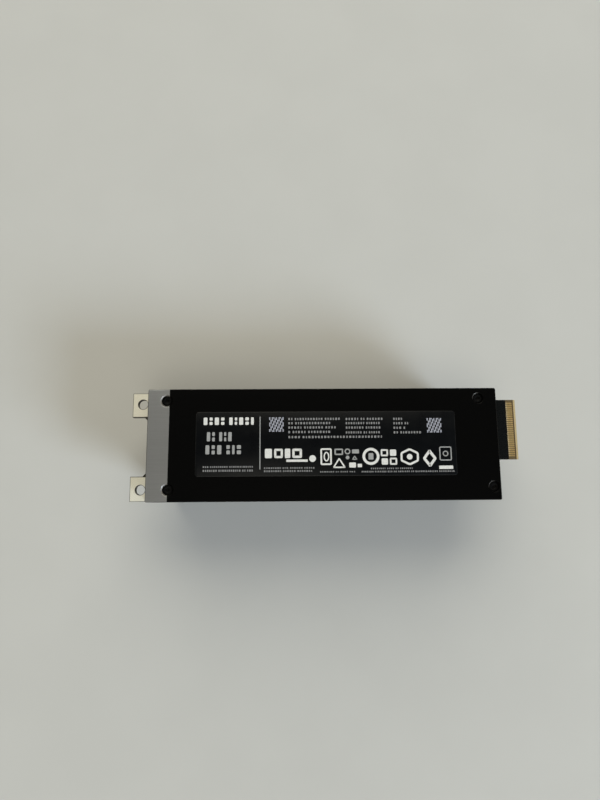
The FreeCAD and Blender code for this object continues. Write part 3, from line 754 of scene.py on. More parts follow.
@dataclass(frozen=True, kw_only=True)
class ContactGold(Finish):
    """Hard gold plating with wipe marks along each finger and a paler inner end."""

    name: str = "hard_gold"
    inner_end: float
    gold: Colour = (0.72, 0.52, 0.235)
    wiped: Colour = (0.58, 0.40, 0.165)
    pale: Colour = (0.80, 0.68, 0.47)
    pale_share: float = 0.8
    metallic: float = 0.85
    gloss: Span = (0.28, 0.42)
    wipe: tuple[float, float, float] = (420.0, 9000.0, 4000.0)
    cloud: float = 0.5 * MM
    depth: float = 0.002 * MM

    def paint(self, shader: Shader) -> None:
        """Plate the fingers and wipe them.

        Args:
            shader: The material being built.
        """
        streak = shader.streaks(self.wipe)
        worn = shader.blend(shader.ramp(streak, low=0.35, high=0.75), self.gold, self.wiped)
        near = shader.ramp(shader.axis("X"), self.inner_end + 0.55 * MM, self.inner_end + 0.05 * MM,
                           end=self.pale_share)
        shader.set(Base_Color=shader.blend(near, worn, self.pale), Metallic=self.metallic,
                   Roughness=shader.spread(shader.noise(self.cloud, detail=3.0), *self.gloss),
                   Normal=shader.relief(streak, self.depth))


@dataclass(frozen=True, kw_only=True)
class Moulding(Finish):
    """Moulded or pressed body with a fine grain and soft colour clouds."""

    colour: Colour
    second: Colour
    gloss: Span = (0.5, 0.65)
    cloud: float = 1.6 * MM
    grain: float = 0.12 * MM
    depth: float = 0.004 * MM
    edge_round: float = 0.06 * MM

    def paint(self, shader: Shader) -> None:
        """Cloud the colour and grain the surface.

        Args:
            shader: The material being built.
        """
        grain = shader.noise(self.grain, detail=3.0)
        cloud = shader.spread(shader.noise(self.cloud, detail=3.0))
        shader.set(Base_Color=shader.blend(cloud, self.colour, self.second),
                   Roughness=shader.spread(grain, *self.gloss),
                   Normal=shader.relief(grain, self.depth, shader.soft_edges(self.edge_round)))


@dataclass(frozen=True, kw_only=True)
class LidAndFoot(Finish):
    """Package whose metal lid hangs below a foot, told apart by level."""

    level: float
    lid: Colour = (0.56, 0.56, 0.55)
    foot: Colour = (0.012, 0.030, 0.016)
    gloss: Span = (0.32, 0.48)
    brush: tuple[float, float, float] = (300.0, 6000.0, 3000.0)
    depth: float = 0.002 * MM
    edge_round: float = 0.05 * MM

    def paint(self, shader: Shader) -> None:
        """Brush the lid and leave the foot matt.

        Args:
            shader: The material being built.
        """
        lid = shader.ramp(shader.axis("Z"), self.level + 0.02 * MM, self.level - 0.02 * MM)
        brush = shader.streaks(self.brush)
        metal = shader.blend(shader.spread(brush, end=0.35), self.lid, self.foot)
        shader.set(Base_Color=shader.blend(lid, self.foot, metal), Metallic=lid,
                   Roughness=shader.spread(brush, *self.gloss),
                   Normal=shader.relief(brush, self.depth, shader.soft_edges(self.edge_round)))


@dataclass(frozen=True, kw_only=True)
class StrappedCase(Finish):
    """Moulded case with a bright strap at both ends, on parts set in columns along the board."""

    start: float
    length: float
    pitch: float
    case: Colour
    second: Colour
    strap: float = 0.1 * MM
    tin: Colour = (0.66, 0.65, 0.62)
    gloss: Span = (0.42, 0.58)
    cloud: float = 1.2 * MM
    grain: float = 0.15 * MM
    depth: float = 0.004 * MM
    edge_round: float = 0.06 * MM

    def paint(self, shader: Shader) -> None:
        """Cloud the case and tin the straps of each column.

        Args:
            shader: The material being built.
        """
        place = shader.calc("FLOORED_MODULO", shader.offset("X", self.start), self.pitch)
        middle = shader.calc("ABSOLUTE", shader.calc("SUBTRACT", place, self.length / 2))
        end = self.length / 2 - self.strap
        strap = shader.ramp(middle, end, end + 0.03 * MM)
        grain = shader.noise(self.grain, detail=3.0)
        case = shader.blend(shader.spread(shader.noise(self.cloud)), self.case, self.second)
        shader.set(Base_Color=shader.blend(strap, case, self.tin), Metallic=strap,
                   Roughness=shader.spread(grain, *self.gloss),
                   Normal=shader.relief(grain, self.depth, shader.soft_edges(self.edge_round)))


@dataclass(frozen=True, kw_only=True)
class ClearPlastic(Finish):
    """Clear moulded plastic with flow lines in its gloss."""

    colour: Colour
    second: Colour
    transmission: float = 0.75
    bending: float = 1.49
    gloss: Span = (0.12, 0.26)
    flow: tuple[float, float, float] = (600.0, 2400.0, 2400.0)
    depth: float = 0.003 * MM

    def paint(self, shader: Shader) -> None:
        """Clear the plastic and let its flow show.

        Args:
            shader: The material being built.
        """
        flow = shader.streaks(self.flow, detail=2.0)
        shader.set(Base_Color=shader.blend(shader.spread(flow), self.colour, self.second),
                   Roughness=shader.spread(flow, *self.gloss),
                   Transmission_Weight=self.transmission, IOR=self.bending,
                   Normal=shader.relief(flow, self.depth))


@dataclass(frozen=True, kw_only=True)
class Tabletop(Finish):
    """Pale matt table with a faint tooth."""

    name: str = "pale_table"
    colour: Colour = (0.557, 0.557, 0.542)
    second: Colour = (0.544, 0.544, 0.529)
    gloss: float = 0.75
    sheen: float = 0.2
    cloud: float = 30.0 * MM
    tooth: float = 0.8 * MM
    depth: float = 0.006 * MM

    def paint(self, shader: Shader) -> None:
        """Cloud the table faintly and give it a tooth.

        Args:
            shader: The material being built.
        """
        cloud = shader.spread(shader.noise(self.cloud, detail=4.0))
        shader.set(Base_Color=shader.blend(cloud, self.colour, self.second), Roughness=self.gloss,
                   Specular_IOR_Level=self.sheen,
                   Normal=shader.relief(shader.noise(self.tooth, detail=3.0), self.depth))


class Bench:
    """Modelling moves that the sub-assemblies share, each made with Blender's own operators."""

    @staticmethod
    def clear() -> None:
        """Go to object mode with nothing selected."""
        Bench.leave_edit()
        bpy.ops.object.select_all(action="DESELECT")

    @staticmethod
    def edit() -> None:
        """Go to edit mode on the active object with nothing selected."""
        bpy.ops.object.mode_set(mode="EDIT")
        bpy.ops.mesh.select_all(action="DESELECT")

    @staticmethod
    def leave_edit() -> None:
        """Go back to object mode."""
        if bpy.context.object is not None and bpy.context.object.mode != "OBJECT":
            bpy.ops.object.mode_set(mode="OBJECT")

    @staticmethod
    def select(kind: Element, wanted: Callable[[object], bool]) -> None:
        """Select mesh elements by a test of their place or normal.

        Args:
            kind: Which elements.
            wanted: Test that a bmesh element passes to be selected.
        """
        bpy.ops.mesh.select_mode(type=kind.value)
        bpy.ops.mesh.select_all(action="DESELECT")
        mesh = bpy.context.object.data
        shape = bmesh.from_edit_mesh(mesh)
        for element in {Element.EDGE: shape.edges, Element.FACE: shape.faces}[kind]:
            if wanted(element):
                element.select_set(True)
        shape.select_flush_mode()
        bmesh.update_edit_mesh(mesh)

    @staticmethod
    def select_rim(level: float) -> None:
        """Select the edges that lie at one level."""
        Bench.select(Element.EDGE,
                     lambda edge: all(abs(vert.co.z - level) < SAME_LEVEL for vert in edge.verts))

    @staticmethod
    def raise_all(height: float) -> None:
        """Extrude the flat mesh being edited upwards into a closed shell.

        Args:
            height: Thickness that it gets, in metres.
        """
        bpy.ops.mesh.select_all(action="SELECT")
        bpy.ops.mesh.extrude_region_move(TRANSFORM_OT_translate={"value": (0.0, 0.0, height)})
        bpy.ops.mesh.select_all(action="SELECT")
        bpy.ops.mesh.normals_make_consistent(inside=False)

    @staticmethod
    def modify(piece: bpy.types.Object, kind: str, **settings: object) -> None:
        """Add a modifier and apply it.

        Args:
            piece: The piece to change.
            kind: The modifier's type name.
            settings: Properties to set on it.
        """
        bpy.context.view_layer.objects.active = piece
        made = piece.modifiers.new(kind.lower(), kind)
        for key, value in settings.items():
            setattr(made, key, value)
        bpy.ops.object.modifier_apply(modifier=made.name)

    @staticmethod
    def settle(name: str, sharp: float = 35.0) -> bpy.types.Object:
        """Name the active piece, put its place into its mesh and shade it.

        Args:
            name: The piece's name.
            sharp: Edges turning more than this many degrees stay sharp.

        Returns:
            The finished piece.
        """
        Bench.leave_edit()
        piece = bpy.context.object
        piece.name = name
        piece.data.name = name
        bpy.ops.object.transform_apply(location=True, rotation=True, scale=True)
        bpy.ops.object.shade_smooth_by_angle(angle=math.radians(sharp))
        return piece

    @staticmethod
    def dress(piece: bpy.types.Object, material: bpy.types.Material, slot: str) -> bpy.types.Object:
        """Give a new piece its material and set it on the body.

        Args:
            piece: The new piece.
            material: Its material.
            slot: The record's material slot that it belongs to; not used.

        Returns:
            The same piece.
        """
        piece.data.materials.clear()
        piece.data.materials.append(material)
        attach(piece, BODY)
        LOG.info("%s: %d faces", piece.name, len(piece.data.polygons))
        return piece

    @staticmethod
    def refinish(names: Iterable[str], finish: Finish) -> None:
        """Give CAD nodes a better material in their own slots.

        Args:
            names: The nodes.
            finish: The finish that they share.
        """
        material = finish.make()
        for name in names:
            for holder in frame["nodes"][name].material_slots:
                holder.material = material
            LOG.info("%s: %s", name, material.name)


@dataclass
class Enclosure:
    """Finned heat sink with its ears, the flat cover and the four screws that hold it down."""

    ear_width: float = 7.5 * MM
    ear_side_inset: float = 0.275 * MM
    screw_places: tuple[Spot, ...] = (
        (-47.025 * MM, -13.3 * MM),
        (-47.925 * MM, 13.3 * MM),
        (46.575 * MM, 13.675 * MM),
        (49.975 * MM, -12.975 * MM),
    )
    head_radius: float = 1.4 * MM
    head_height: float = 0.8 * MM
    head_round: float = 0.13 * MM
    head_facets: int = 48
    socket_width: float = 1.3 * MM
    socket_depth: float = 0.5 * MM
    socket_break: float = 0.035 * MM
    shank_radius: float = 0.8 * MM
    point: float = 0.3 * MM
    sharp_turn: float = 50.0
    shaded_turn: float = 32.0

    def build(self) -> None:
        """Dress the cover and the heat sink and model the screws."""
        Bench.refinish(["top_cover"], self.cover_finish())
        Bench.refinish(["heat_sink"], self.sink_finish())
        self.screws()

    def cover_finish(self) -> CoverMetal:
        """Place the cover's bare band and the rims of its bores.

        Returns:
            The cover's finish.
        """
        low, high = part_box("top_cover")
        front = tuple(place for place in self.screw_places if place[0] < 0.0)
        rear = tuple(place for place in self.screw_places if place[0] > 0.0)
        return CoverMetal(front=low.x, face=high.z, front_bores=front, rear_bores=rear)

    def sink_finish(self) -> EaredMetal:
        """Place the bare faces of the ears from the mount that their holes make.

        Returns:
            The heat sink's finish.
        """
        low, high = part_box("heat_sink")
        ears = next(mount for mount in frame["record"]["mounts"] if mount["name"] == "latch_ears")
        outer = high.y - self.ear_side_inset
        return EaredMetal(root=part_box("top_cover")[0].x, tip=low.x, level=ears["pos_m"][2],
                          sides=(outer - self.ear_width, outer),
                          hole=(ears["pos_m"][0], ears["dims"]["spacing_y_mm"] / 2 * MM),
                          hole_radius=ears["dims"]["hole_r_mm"] * MM)

    def screws(self) -> None:
        """Model one socket screw and copy it to the four places."""
        low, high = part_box("cover_screws")
        finish = BlackScrew().make()
        master = self.screw(low.z, high.z)
        for index, (x, y) in enumerate(self.screw_places, start=1):
            Bench.clear()
            master.select_set(True)
            bpy.context.view_layer.objects.active = master
            bpy.ops.object.duplicate(linked=False)
            bpy.ops.transform.translate(value=(x, y, 0.0))
            piece = Bench.settle(f"cover_screw_{index}", self.shaded_turn)
            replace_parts(Bench.dress(piece, finish, "black_screw"), "cover_screws")
        bpy.data.objects.remove(master)

    def screw(self, tip: float, top: float) -> bpy.types.Object:
        """Model one screw on the Z axis.

        Args:
            tip: Level of the screw's point.
            top: Level of the top of its head.

        Returns:
            The screw, with its socket cut and its edges broken.
        """
        seat = top - self.head_height
        Bench.clear()
        bpy.ops.mesh.primitive_cylinder_add(vertices=self.head_facets, radius=self.head_radius,
                                            depth=self.head_height, location=(0.0, 0.0, (top + seat) / 2))
        bpy.ops.object.transform_apply(location=True)
        Bench.edit()
        Bench.select(Element.FACE, lambda face: face.normal.z < FACING_DOWN)
        bpy.ops.mesh.inset(thickness=self.head_radius - self.shank_radius, depth=0.0)
        bpy.ops.mesh.extrude_region_move(TRANSFORM_OT_translate={"value": (0.0, 0.0, tip - seat)})
        Bench.select_rim(tip)
        bpy.ops.mesh.bevel(offset=self.point, segments=1, affect="EDGES")
        Bench.select_rim(top)
        bpy.ops.mesh.bevel(offset=self.head_round, segments=4, affect="EDGES")
        Bench.leave_edit()
        screw = bpy.context.object

        Bench.clear()
        bpy.ops.mesh.primitive_cylinder_add(vertices=6, radius=self.socket_width / math.sqrt(3.0),
                                            depth=2.0 * self.socket_depth, location=(0.0, 0.0, top))
        cutter = bpy.context.object
        Bench.clear()
        screw.select_set(True)
        Bench.modify(screw, "BOOLEAN", object=cutter, operation="DIFFERENCE", solver="EXACT")
        bpy.data.objects.remove(cutter)
        Bench.modify(screw, "BEVEL", width=self.socket_break, segments=2, limit_method="ANGLE",
                     angle_limit=math.radians(self.sharp_turn), use_clamp_overlap=True)
        return screw


@dataclass
class CardEdge:
    """Board with its bevelled tongue and the two rows of gold fingers."""

    finger_width: float = 0.4 * MM
    finger_pitch: float = 0.6 * MM
    finger_count: int = 28
    plan_round: float = 0.07 * MM
    top_round: float = 0.016 * MM

    def build(self) -> None:
        """Dress the board and model both rows of fingers."""
        low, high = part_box("edge_contacts_top")
        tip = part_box("circuit_board")[1].x
        Bench.refinish(["circuit_board"], BoardLaminate(tip=tip, fingers=(low.x, high.x)))
        finish = ContactGold(inner_end=low.x).make()
        for node, upward in (("edge_contacts_top", True), ("edge_contacts_bottom", False)):
            piece = self.fingers(node, upward)
            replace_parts(Bench.dress(piece, finish, "contact_gold"), node)

    def fingers(self, node: str, upward: bool) -> bpy.types.Object:
        """Model one finger and repeat it along the edge.

        Args:
            node: CAD node whose place the row takes.
            upward: True for the row on the board's upper face.

        Returns:
            The row as one piece.
        """
        low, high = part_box(node)
        first_high = Vector((high.x, low.y + self.finger_width, high.z))
        Bench.clear()
        bpy.ops.mesh.primitive_cube_add(size=1.0, location=(low + first_high) / 2, scale=first_high - low)
        bpy.ops.object.transform_apply(location=True, scale=True)
        Bench.edit()
        Bench.select(Element.EDGE, lambda edge: abs(edge.verts[0].co.z - edge.verts[1].co.z) > SAME_LEVEL)
        bpy.ops.mesh.bevel(offset=self.plan_round, segments=3, affect="EDGES")
        Bench.select_rim(high.z if upward else low.z)
        bpy.ops.mesh.bevel(offset=self.top_round, segments=2, affect="EDGES")
        Bench.leave_edit()
        Bench.modify(bpy.context.object, "ARRAY", count=self.finger_count, use_relative_offset=False,
                     use_constant_offset=True, constant_offset_displace=(0.0, self.finger_pitch, 0.0))
        return Bench.settle(node.replace("edge_contacts", "contact_fingers"))


@dataclass(frozen=True)
class PrintLine:
    """Line of print shown as a run of small blocks, in millimetres on the label's plane."""

    left: float
    right: float
    middle: float
    height: float
    pattern: tuple[int, ...]
    gap: float = 0.72
    parted: bool = False

    RHYTHM = (1.0, 0.82, 1.1, 0.9, 0.62, 1.05, 0.95, 0.74)
    WORD_SPACE = 0.7
    PART_SHIFT = 0.29
    PART_HEIGHT = 0.42

    def widths(self) -> list[tuple[float, float]]:
        """Share the line out between its blocks, word by word.

        Returns:
            Each block's width and the gap after it, in units of a plain block.
        """
        sizes = []
        for number, word in enumerate(self.pattern):
            for step in range(word):
                width = self.RHYTHM[(step + 3 * number) % len(self.RHYTHM)]
                sizes.append((width, self.gap + (self.WORD_SPACE if step == word - 1 else 0.0)))
        return sizes

    def blocks(self) -> list[Block]:
        """Split the line into blocks, every other one parted into two if asked for.

        Returns:
            Each block's centre, width and height.
        """
        sizes = self.widths()
        total = sum(width + after for width, after in sizes) - sizes[-1][1]
        unit = (self.right - self.left) / total
        shift, part = self.PART_SHIFT * self.height, self.PART_HEIGHT * self.height
        made = []
        place = self.left
        for index, (width, after) in enumerate(sizes):
            x = place + width * unit / 2
            if self.parted and index % 2:
                made.append((x, self.middle + shift, width * unit, part))
                made.append((x, self.middle - shift, width * unit, part))
            else:
                made.append((x, self.middle, width * unit, self.height))
            place += (width + after) * unit
        return made


@dataclass(frozen=True)
class Symbol:
    """Plain shape in the row of marks, in millimetres on the label; one with a stroke is an outline."""

    mark: Mark
    x: float
    y: float
    width: float
    height: float
    stroke: float = 0.0

    SIDES = {Mark.RING: 40, Mark.DISC: 32, Mark.TRIANGLE: 3, Mark.HEXAGON: 6, Mark.LOZENGE: 4}
    CORNER_SHARE = 0.16
    CORNER_MOST = 0.5

    def draw(self, level: float) -> None:
        """Add the shape to the mesh being edited.

        Args:
            level: Level of the film that it is printed on, in metres.
        """
        centre = (self.x * MM, self.y * MM, level)
        width = self.width
        if self.mark in self.SIDES:
            bpy.ops.mesh.primitive_circle_add(vertices=self.SIDES[self.mark], radius=0.5 * MM,
                                              fill_type="NGON", location=centre)
        else:
            bpy.ops.mesh.primitive_plane_add(size=1.0 * MM, location=centre)
        if self.mark is Mark.HEXAGON:
            width /= math.cos(math.pi / self.SIDES[self.mark])
        bpy.ops.transform.resize(value=(width, self.height, 1.0), center_override=centre)
        if self.mark not in (Mark.RING, Mark.DISC):
            corner = min(self.CORNER_SHARE * min(self.width, self.height), self.CORNER_MOST)
            bpy.ops.mesh.bevel(offset=corner * MM, segments=4, affect="VERTICES", clamp_overlap=True)
        if self.stroke:
            bpy.ops.mesh.inset(thickness=self.stroke * MM, depth=0.0)
            bpy.ops.mesh.delete(type="FACE")
        bpy.ops.mesh.select_all(action="DESELECT")


@dataclass
class Label:
    """Dark film on the cover, printed with rows of blocks, woven squares and plain marks."""

    film_depth: float = 0.085 * MM
    ink_depth: float = 0.008 * MM
    corner: float = 0.8 * MM
    edge_round: float = 0.02 * MM
    inks: tuple[tuple[Tone, Colour, Colour], ...] = (
        (Tone.WHITE, (0.72, 0.72, 0.71), (0.55, 0.55, 0.54)),
        (Tone.GRAY, (0.34, 0.345, 0.35), (0.25, 0.255, 0.26)),
        (Tone.FINE, (0.25, 0.25, 0.258), (0.14, 0.14, 0.145)),
        (Tone.CELL, (0.33, 0.34, 0.40), (0.24, 0.25, 0.30)),
    )
    title: tuple[PrintLine, ...] = (
        PrintLine(-36.65, -21.6, 7.03, 2.25, (4, 5), gap=0.55, parted=True),
    )
    headings: tuple[PrintLine, ...] = (
        PrintLine(-35.6, -28.2, 2.35, 2.75, (2, 3), gap=0.6, parted=True),
        PrintLine(-35.95, -25.4, -1.55, 2.7, (3, 3), gap=0.6, parted=True),
    )
    divider: Block = (-19.72, 0.45, 0.26, 15.9)
    lines: tuple[PrintLine, ...] = (
        PrintLine(-11.25, 4.25, 7.57, 0.68, (2, 11, 6)),
        PrintLine(-11.25, 1.35, 6.30, 0.68, (2, 13)),
        PrintLine(-11.25, 3.00, 4.99, 0.68, (5, 7, 4)),
        PrintLine(-11.25, 1.31, 3.63, 0.68, (1, 5, 8)),
        PrintLine(-11.25, 16.88, 2.10, 0.68, (4, 26)),
        PrintLine(6.05, 17.16, 7.50, 0.68, (5, 2, 6)),
        PrintLine(6.05, 16.30, 6.22, 0.68, (8, 6)),
        PrintLine(6.05, 16.45, 4.88, 0.68, (7, 6)),
        PrintLine(6.05, 16.28, 3.42, 0.68, (7, 2, 5)),
        PrintLine(20.45, 23.10, 7.45, 0.68, (4,)),
        PrintLine(20.45, 24.90, 6.12, 0.68, (4, 2)),
        PrintLine(20.45, 23.95, 4.75, 0.68, (3, 1)),
        PrintLine(20.45, 28.69, 3.35, 0.68, (2, 8)),
    )
    small_lines: tuple[PrintLine, ...] = (
        PrintLine(-36.65, -21.85, -6.65, 0.48, (3, 9, 12)),
        PrintLine(-36.65, -21.85, -7.78, 0.60, (7, 11, 2, 3)),
        PrintLine(-18.50, -3.55, -7.10, 0.46, (8, 3, 6, 5)),
        PrintLine(-18.50, -4.25, -8.00, 0.52, (8, 6, 7)),
        PrintLine(-1.85, 8.55, -8.30, 0.40, (7, 2, 4, 3)),
        PrintLine(13.29, 25.73, -7.42, 0.44, (8, 4, 2, 7)),
        PrintLine(10.51, 38.20, -8.34, 0.48, (7, 7, 3, 2, 7, 2, 13, 9)),
    )
    squares: tuple[Spot, ...] = ((-14.8, 5.95), (32.75, 5.44))
    square_size: float = 4.4
    square_cells: int = 11
    cell_share: float = 0.98
    weave: int = 5
    filled: tuple[int, ...] = (0, 2, 3)
    bold_marks: tuple[Symbol, ...] = (
        Symbol(Mark.BLOCK, -17.2, -2.75, 2.1, 2.8),
        Symbol(Mark.FRAME, -14.2, -2.75, 2.6, 2.8, 0.66),
        Symbol(Mark.BLOCK, -11.5, -2.75, 1.6, 2.8),
        Symbol(Mark.FRAME, -8.65, -2.75, 2.9, 2.8, 0.72),
        Symbol(Mark.BLOCK, -8.7, -4.95, 6.4, 0.7),
        Symbol(Mark.DISC, -4.05, -4.35, 2.0, 2.0),
        Symbol(Mark.FRAME, 0.0, -3.8, 3.4, 5.0, 0.5),
        Symbol(Mark.RING, 0.1, -3.8, 1.7, 2.9, 0.36),
        Symbol(Mark.TRIANGLE, 3.87, -6.13, 4.7, 4.27, 0.42),
        Symbol(Mark.BLOCK, 7.85, -6.35, 2.0, 1.5),
        Symbol(Mark.BLOCK, 10.0, -6.5, 1.3, 1.0),
        Symbol(Mark.RING, 13.4, -3.8, 5.1, 5.1, 0.8),
        Symbol(Mark.FRAME, 17.45, -2.75, 2.2, 2.1, 0.5),
        Symbol(Mark.BLOCK, 20.05, -2.75, 1.9, 1.9),
        Symbol(Mark.BLOCK, 17.5, -5.35, 1.9, 1.9),
        Symbol(Mark.FRAME, 20.1, -5.3, 2.2, 2.1, 0.5),
        Symbol(Mark.HEXAGON, 25.0, -4.0, 5.5, 5.2, 0.62),
        Symbol(Mark.DISC, 25.0, -4.0, 1.7, 1.7),
        Symbol(Mark.LOZENGE, 31.0, -4.5, 4.3, 5.7, 0.8),
        Symbol(Mark.BLOCK, 35.8, -7.2, 4.2, 1.0),
    )
    light_marks: tuple[Symbol, ...] = (
        Symbol(Mark.FRAME, 35.8, -3.1, 3.7, 4.2, 0.32),
        Symbol(Mark.RING, 35.8, -3.1, 1.7, 1.7, 0.3),
        Symbol(Mark.FRAME, 3.8, -2.4, 2.6, 1.9, 0.42),
        Symbol(Mark.RING, 6.4, -2.3, 1.75, 1.75, 0.36),
        Symbol(Mark.BLOCK, 8.8, -2.3, 2.1, 1.2),
        Symbol(Mark.TRIANGLE, 8.5, -4.35, 2.1, 1.8, 0.3),
        Symbol(Mark.DISC, 6.4, -4.1, 1.1, 1.1),
        Symbol(Mark.BLOCK, 13.4, -3.8, 1.5, 1.9),
    )
    level: float = field(init=False, default=0.0)

    def build(self) -> None:
        """Model the film and lay the print on it."""
        low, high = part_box("drive_label")
        self.level = low.z + self.film_depth
        film_finish = LabelFilm(low=low, high=high).make()
        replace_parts(Bench.dress(self.film(low, high), film_finish, "label_film"), "drive_label")
        finishes = {}
        for tone, full, thin in self.inks:
            finishes[tone] = Ink(name=tone.value, colour=full, thin=thin).make()
        for piece, tone in self.fields():
            Bench.dress(piece, finishes[tone], "label_film")

    def film(self, low: Vector, high: Vector) -> bpy.types.Object:
        """Model the film as a thin sheet with round corners and a broken upper edge.

        Args:
            low: Lowest corner of the label's room.
            high: Highest corner of it.

        Returns:
            The film.
        """
        middle = (low + high) / 2
        Bench.clear()
        bpy.ops.mesh.primitive_plane_add(size=1.0, location=(middle.x, middle.y, low.z))
        bpy.context.object.scale = (high.x - low.x, high.y - low.y, 1.0)
        bpy.ops.object.transform_apply(location=True, scale=True)
        Bench.edit()
        bpy.ops.mesh.select_all(action="SELECT")
        bpy.ops.mesh.bevel(offset=self.corner, segments=8, affect="VERTICES")
        Bench.raise_all(self.film_depth)
        Bench.select_rim(self.level)
        bpy.ops.mesh.bevel(offset=self.edge_round, segments=2, affect="EDGES")
        return Bench.settle("label_sheet")

    def fields(self) -> list[tuple[bpy.types.Object, Tone]]:
        """Model every field of print.

        Returns:
            Each field with the ink that it is printed in.
        """
        groups = (
            ("print_title", self.blocks(self.title), 0.22, Tone.WHITE),
            ("print_headings", self.blocks(self.headings), 0.22, Tone.GRAY),
            ("print_divider", [self.divider], 0.08, Tone.GRAY),
            ("print_rows", self.blocks(self.lines), 0.1, Tone.FINE),
            ("print_small_rows", self.blocks(self.small_lines), 0.06, Tone.FINE),
            ("print_cells", self.cells(), 0.04, Tone.CELL),
        )
        made = [(self.plates(name, blocks, corner), tone) for name, blocks, corner, tone in groups]
        made.append((self.symbols("print_marks_bold", self.bold_marks), Tone.WHITE))
        made.append((self.symbols("print_marks_light", self.light_marks), Tone.GRAY))
        return made

    def blocks(self, lines: Sequence[PrintLine]) -> list[Block]:
        """Blocks of several lines of print."""
        return [block for line in lines for block in line.blocks()]

    def cells(self) -> list[Block]:
        """Weave a lattice of small cells in each of the two square fields.

        Returns:
            Each cell's centre, width and height.
        """
        pitch = self.square_size / self.square_cells
        size = pitch * self.cell_share
        reach = (self.square_cells - 1) / 2
        made = []
        for centre_x, centre_y in self.squares:
            for column in range(self.square_cells):
                for row in range(self.square_cells):
                    if (column + 2 * row) % self.weave in self.filled:
                        made.append((centre_x + (column - reach) * pitch, centre_y + (row - reach) * pitch,
                                     size, size))
        return made

    def start_sheet(self) -> None:
        """Begin an empty mesh on the film, in edit mode."""
        Bench.clear()
        bpy.ops.mesh.primitive_plane_add(size=1.0 * MM, location=(0.0, 0.0, 0.0))
        Bench.edit()
        bpy.ops.mesh.select_all(action="SELECT")
        bpy.ops.mesh.delete(type="VERT")

    def plates(self, name: str, blocks: Sequence[Block], corner: float) -> bpy.types.Object:
        """Model a group of printed blocks with round corners.

        Args:
            name: Name of the piece.
            blocks: Centre, width and height of each block, in millimetres.
            corner: Radius of the corners, in millimetres.

        Returns:
            The blocks as one piece.
        """
        self.start_sheet()
        for x, y, width, height in blocks:
            centre = (x * MM, y * MM, self.level)
            bpy.ops.mesh.primitive_plane_add(size=1.0 * MM, location=centre)
            bpy.ops.transform.resize(value=(width, height, 1.0), center_override=centre)
            bpy.ops.mesh.select_all(action="DESELECT")
        bpy.ops.mesh.select_all(action="SELECT")
        bpy.ops.mesh.bevel(offset=corner * MM, segments=2, affect="VERTICES", clamp_overlap=True)
        Bench.raise_all(self.ink_depth)
        return Bench.settle(name)

    def symbols(self, name: str, group: Sequence[Symbol]) -> bpy.types.Object:
        """Model a group of plain marks.

        Args:
            name: Name of the piece.
            group: The marks.

        Returns:
            The marks as one piece.
        """
        self.start_sheet()
        for symbol in group:
            symbol.draw(self.level)
        Bench.raise_all(self.ink_depth)
        return Bench.settle(name)


@dataclass
class Electronics:
    """Chips, capacitors, power parts and thermal pads on the board."""

    chips: tuple[str, ...] = (
        "boot_memory", "flash_upper_1", "flash_upper_2", "flash_upper_3", "flash_lower_1", "flash_lower_2",
        "memory_chip_1", "memory_chip_2", "power_manager", "hot_swap_switch", "temperature_sensor",
    )
    pads: tuple[str, ...] = (
        "thermal_pad_lower_flash", "thermal_pad_lower_controller", "thermal_pad_lower_power",
        "thermal_pad_upper_flash", "thermal_pad_upper_memory",
    )
    controller_foot: float = 0.6 * MM
    crystal_foot: float = 0.4 * MM
    holdup_count: int = 8
    holdup_gap: float = 0.9 * MM
    inductor_count: int = 3

    def build(self) -> None:
        """Dress every part on the board."""
        self.packages()
        self.capacitors()
        self.power_parts()
        rubber = Moulding(name="pad_rubber", colour=(0.36, 0.38, 0.42), second=(0.30, 0.32, 0.36),
                          gloss=(0.7, 0.85), grain=0.3 * MM, depth=0.015 * MM)
        Bench.refinish(self.pads, rubber)

    def packages(self) -> None:
        """Dress the moulded chips, the lidded controller and the clock crystal."""
        epoxy = Moulding(name="chip_moulding", colour=(0.010, 0.010, 0.011), second=(0.016, 0.016, 0.017))
        Bench.refinish(self.chips, epoxy)
        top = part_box("controller")[1].z
        lidded = LidAndFoot(name="controller_package", level=top - self.controller_foot)
        Bench.refinish(["controller"], lidded)
        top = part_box("clock_crystal")[1].z
        canned = LidAndFoot(name="crystal_package", level=top - self.crystal_foot, lid=(0.62, 0.61, 0.57),
                            foot=(0.10, 0.08, 0.06))
        Bench.refinish(["clock_crystal"], canned)

    def capacitors(self) -> None:
        """Dress the hold-up capacitors and the small ceramic ones."""
        names = [f"holdup_capacitor_{index}" for index in range(1, self.holdup_count + 1)]
        low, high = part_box(names[0])
        length = high.x - low.x
        case = StrappedCase(name="capacitor_moulding", start=low.x, length=length,
                            pitch=length + self.holdup_gap, case=(0.42, 0.24, 0.035),
                            second=(0.36, 0.20, 0.028))
        Bench.refinish(names, case)
        ceramic = Moulding(name="ceramic_body", colour=(0.34, 0.22, 0.13), second=(0.28, 0.17, 0.10),
                           gloss=(0.35, 0.5))
        Bench.refinish(["ceramic_capacitors"], ceramic)

    def power_parts(self) -> None:
        """Dress the surge clamp and the inductors."""
        low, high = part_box("surge_clamp")
        length = high.x - low.x
        clamp = StrappedCase(name="clamp_moulding", start=low.x, length=length, pitch=2.0 * length,
                             case=(0.012, 0.012, 0.012), second=(0.018, 0.018, 0.018))
        Bench.refinish(["surge_clamp"], clamp)
        powder = Moulding(name="pressed_powder", colour=(0.085, 0.083, 0.080), second=(0.055, 0.054, 0.052),
                          gloss=(0.55, 0.75), grain=0.25 * MM, depth=0.012 * MM)
        Bench.refinish([f"power_inductor_{index}" for index in range(1, self.inductor_count + 1)], powder)


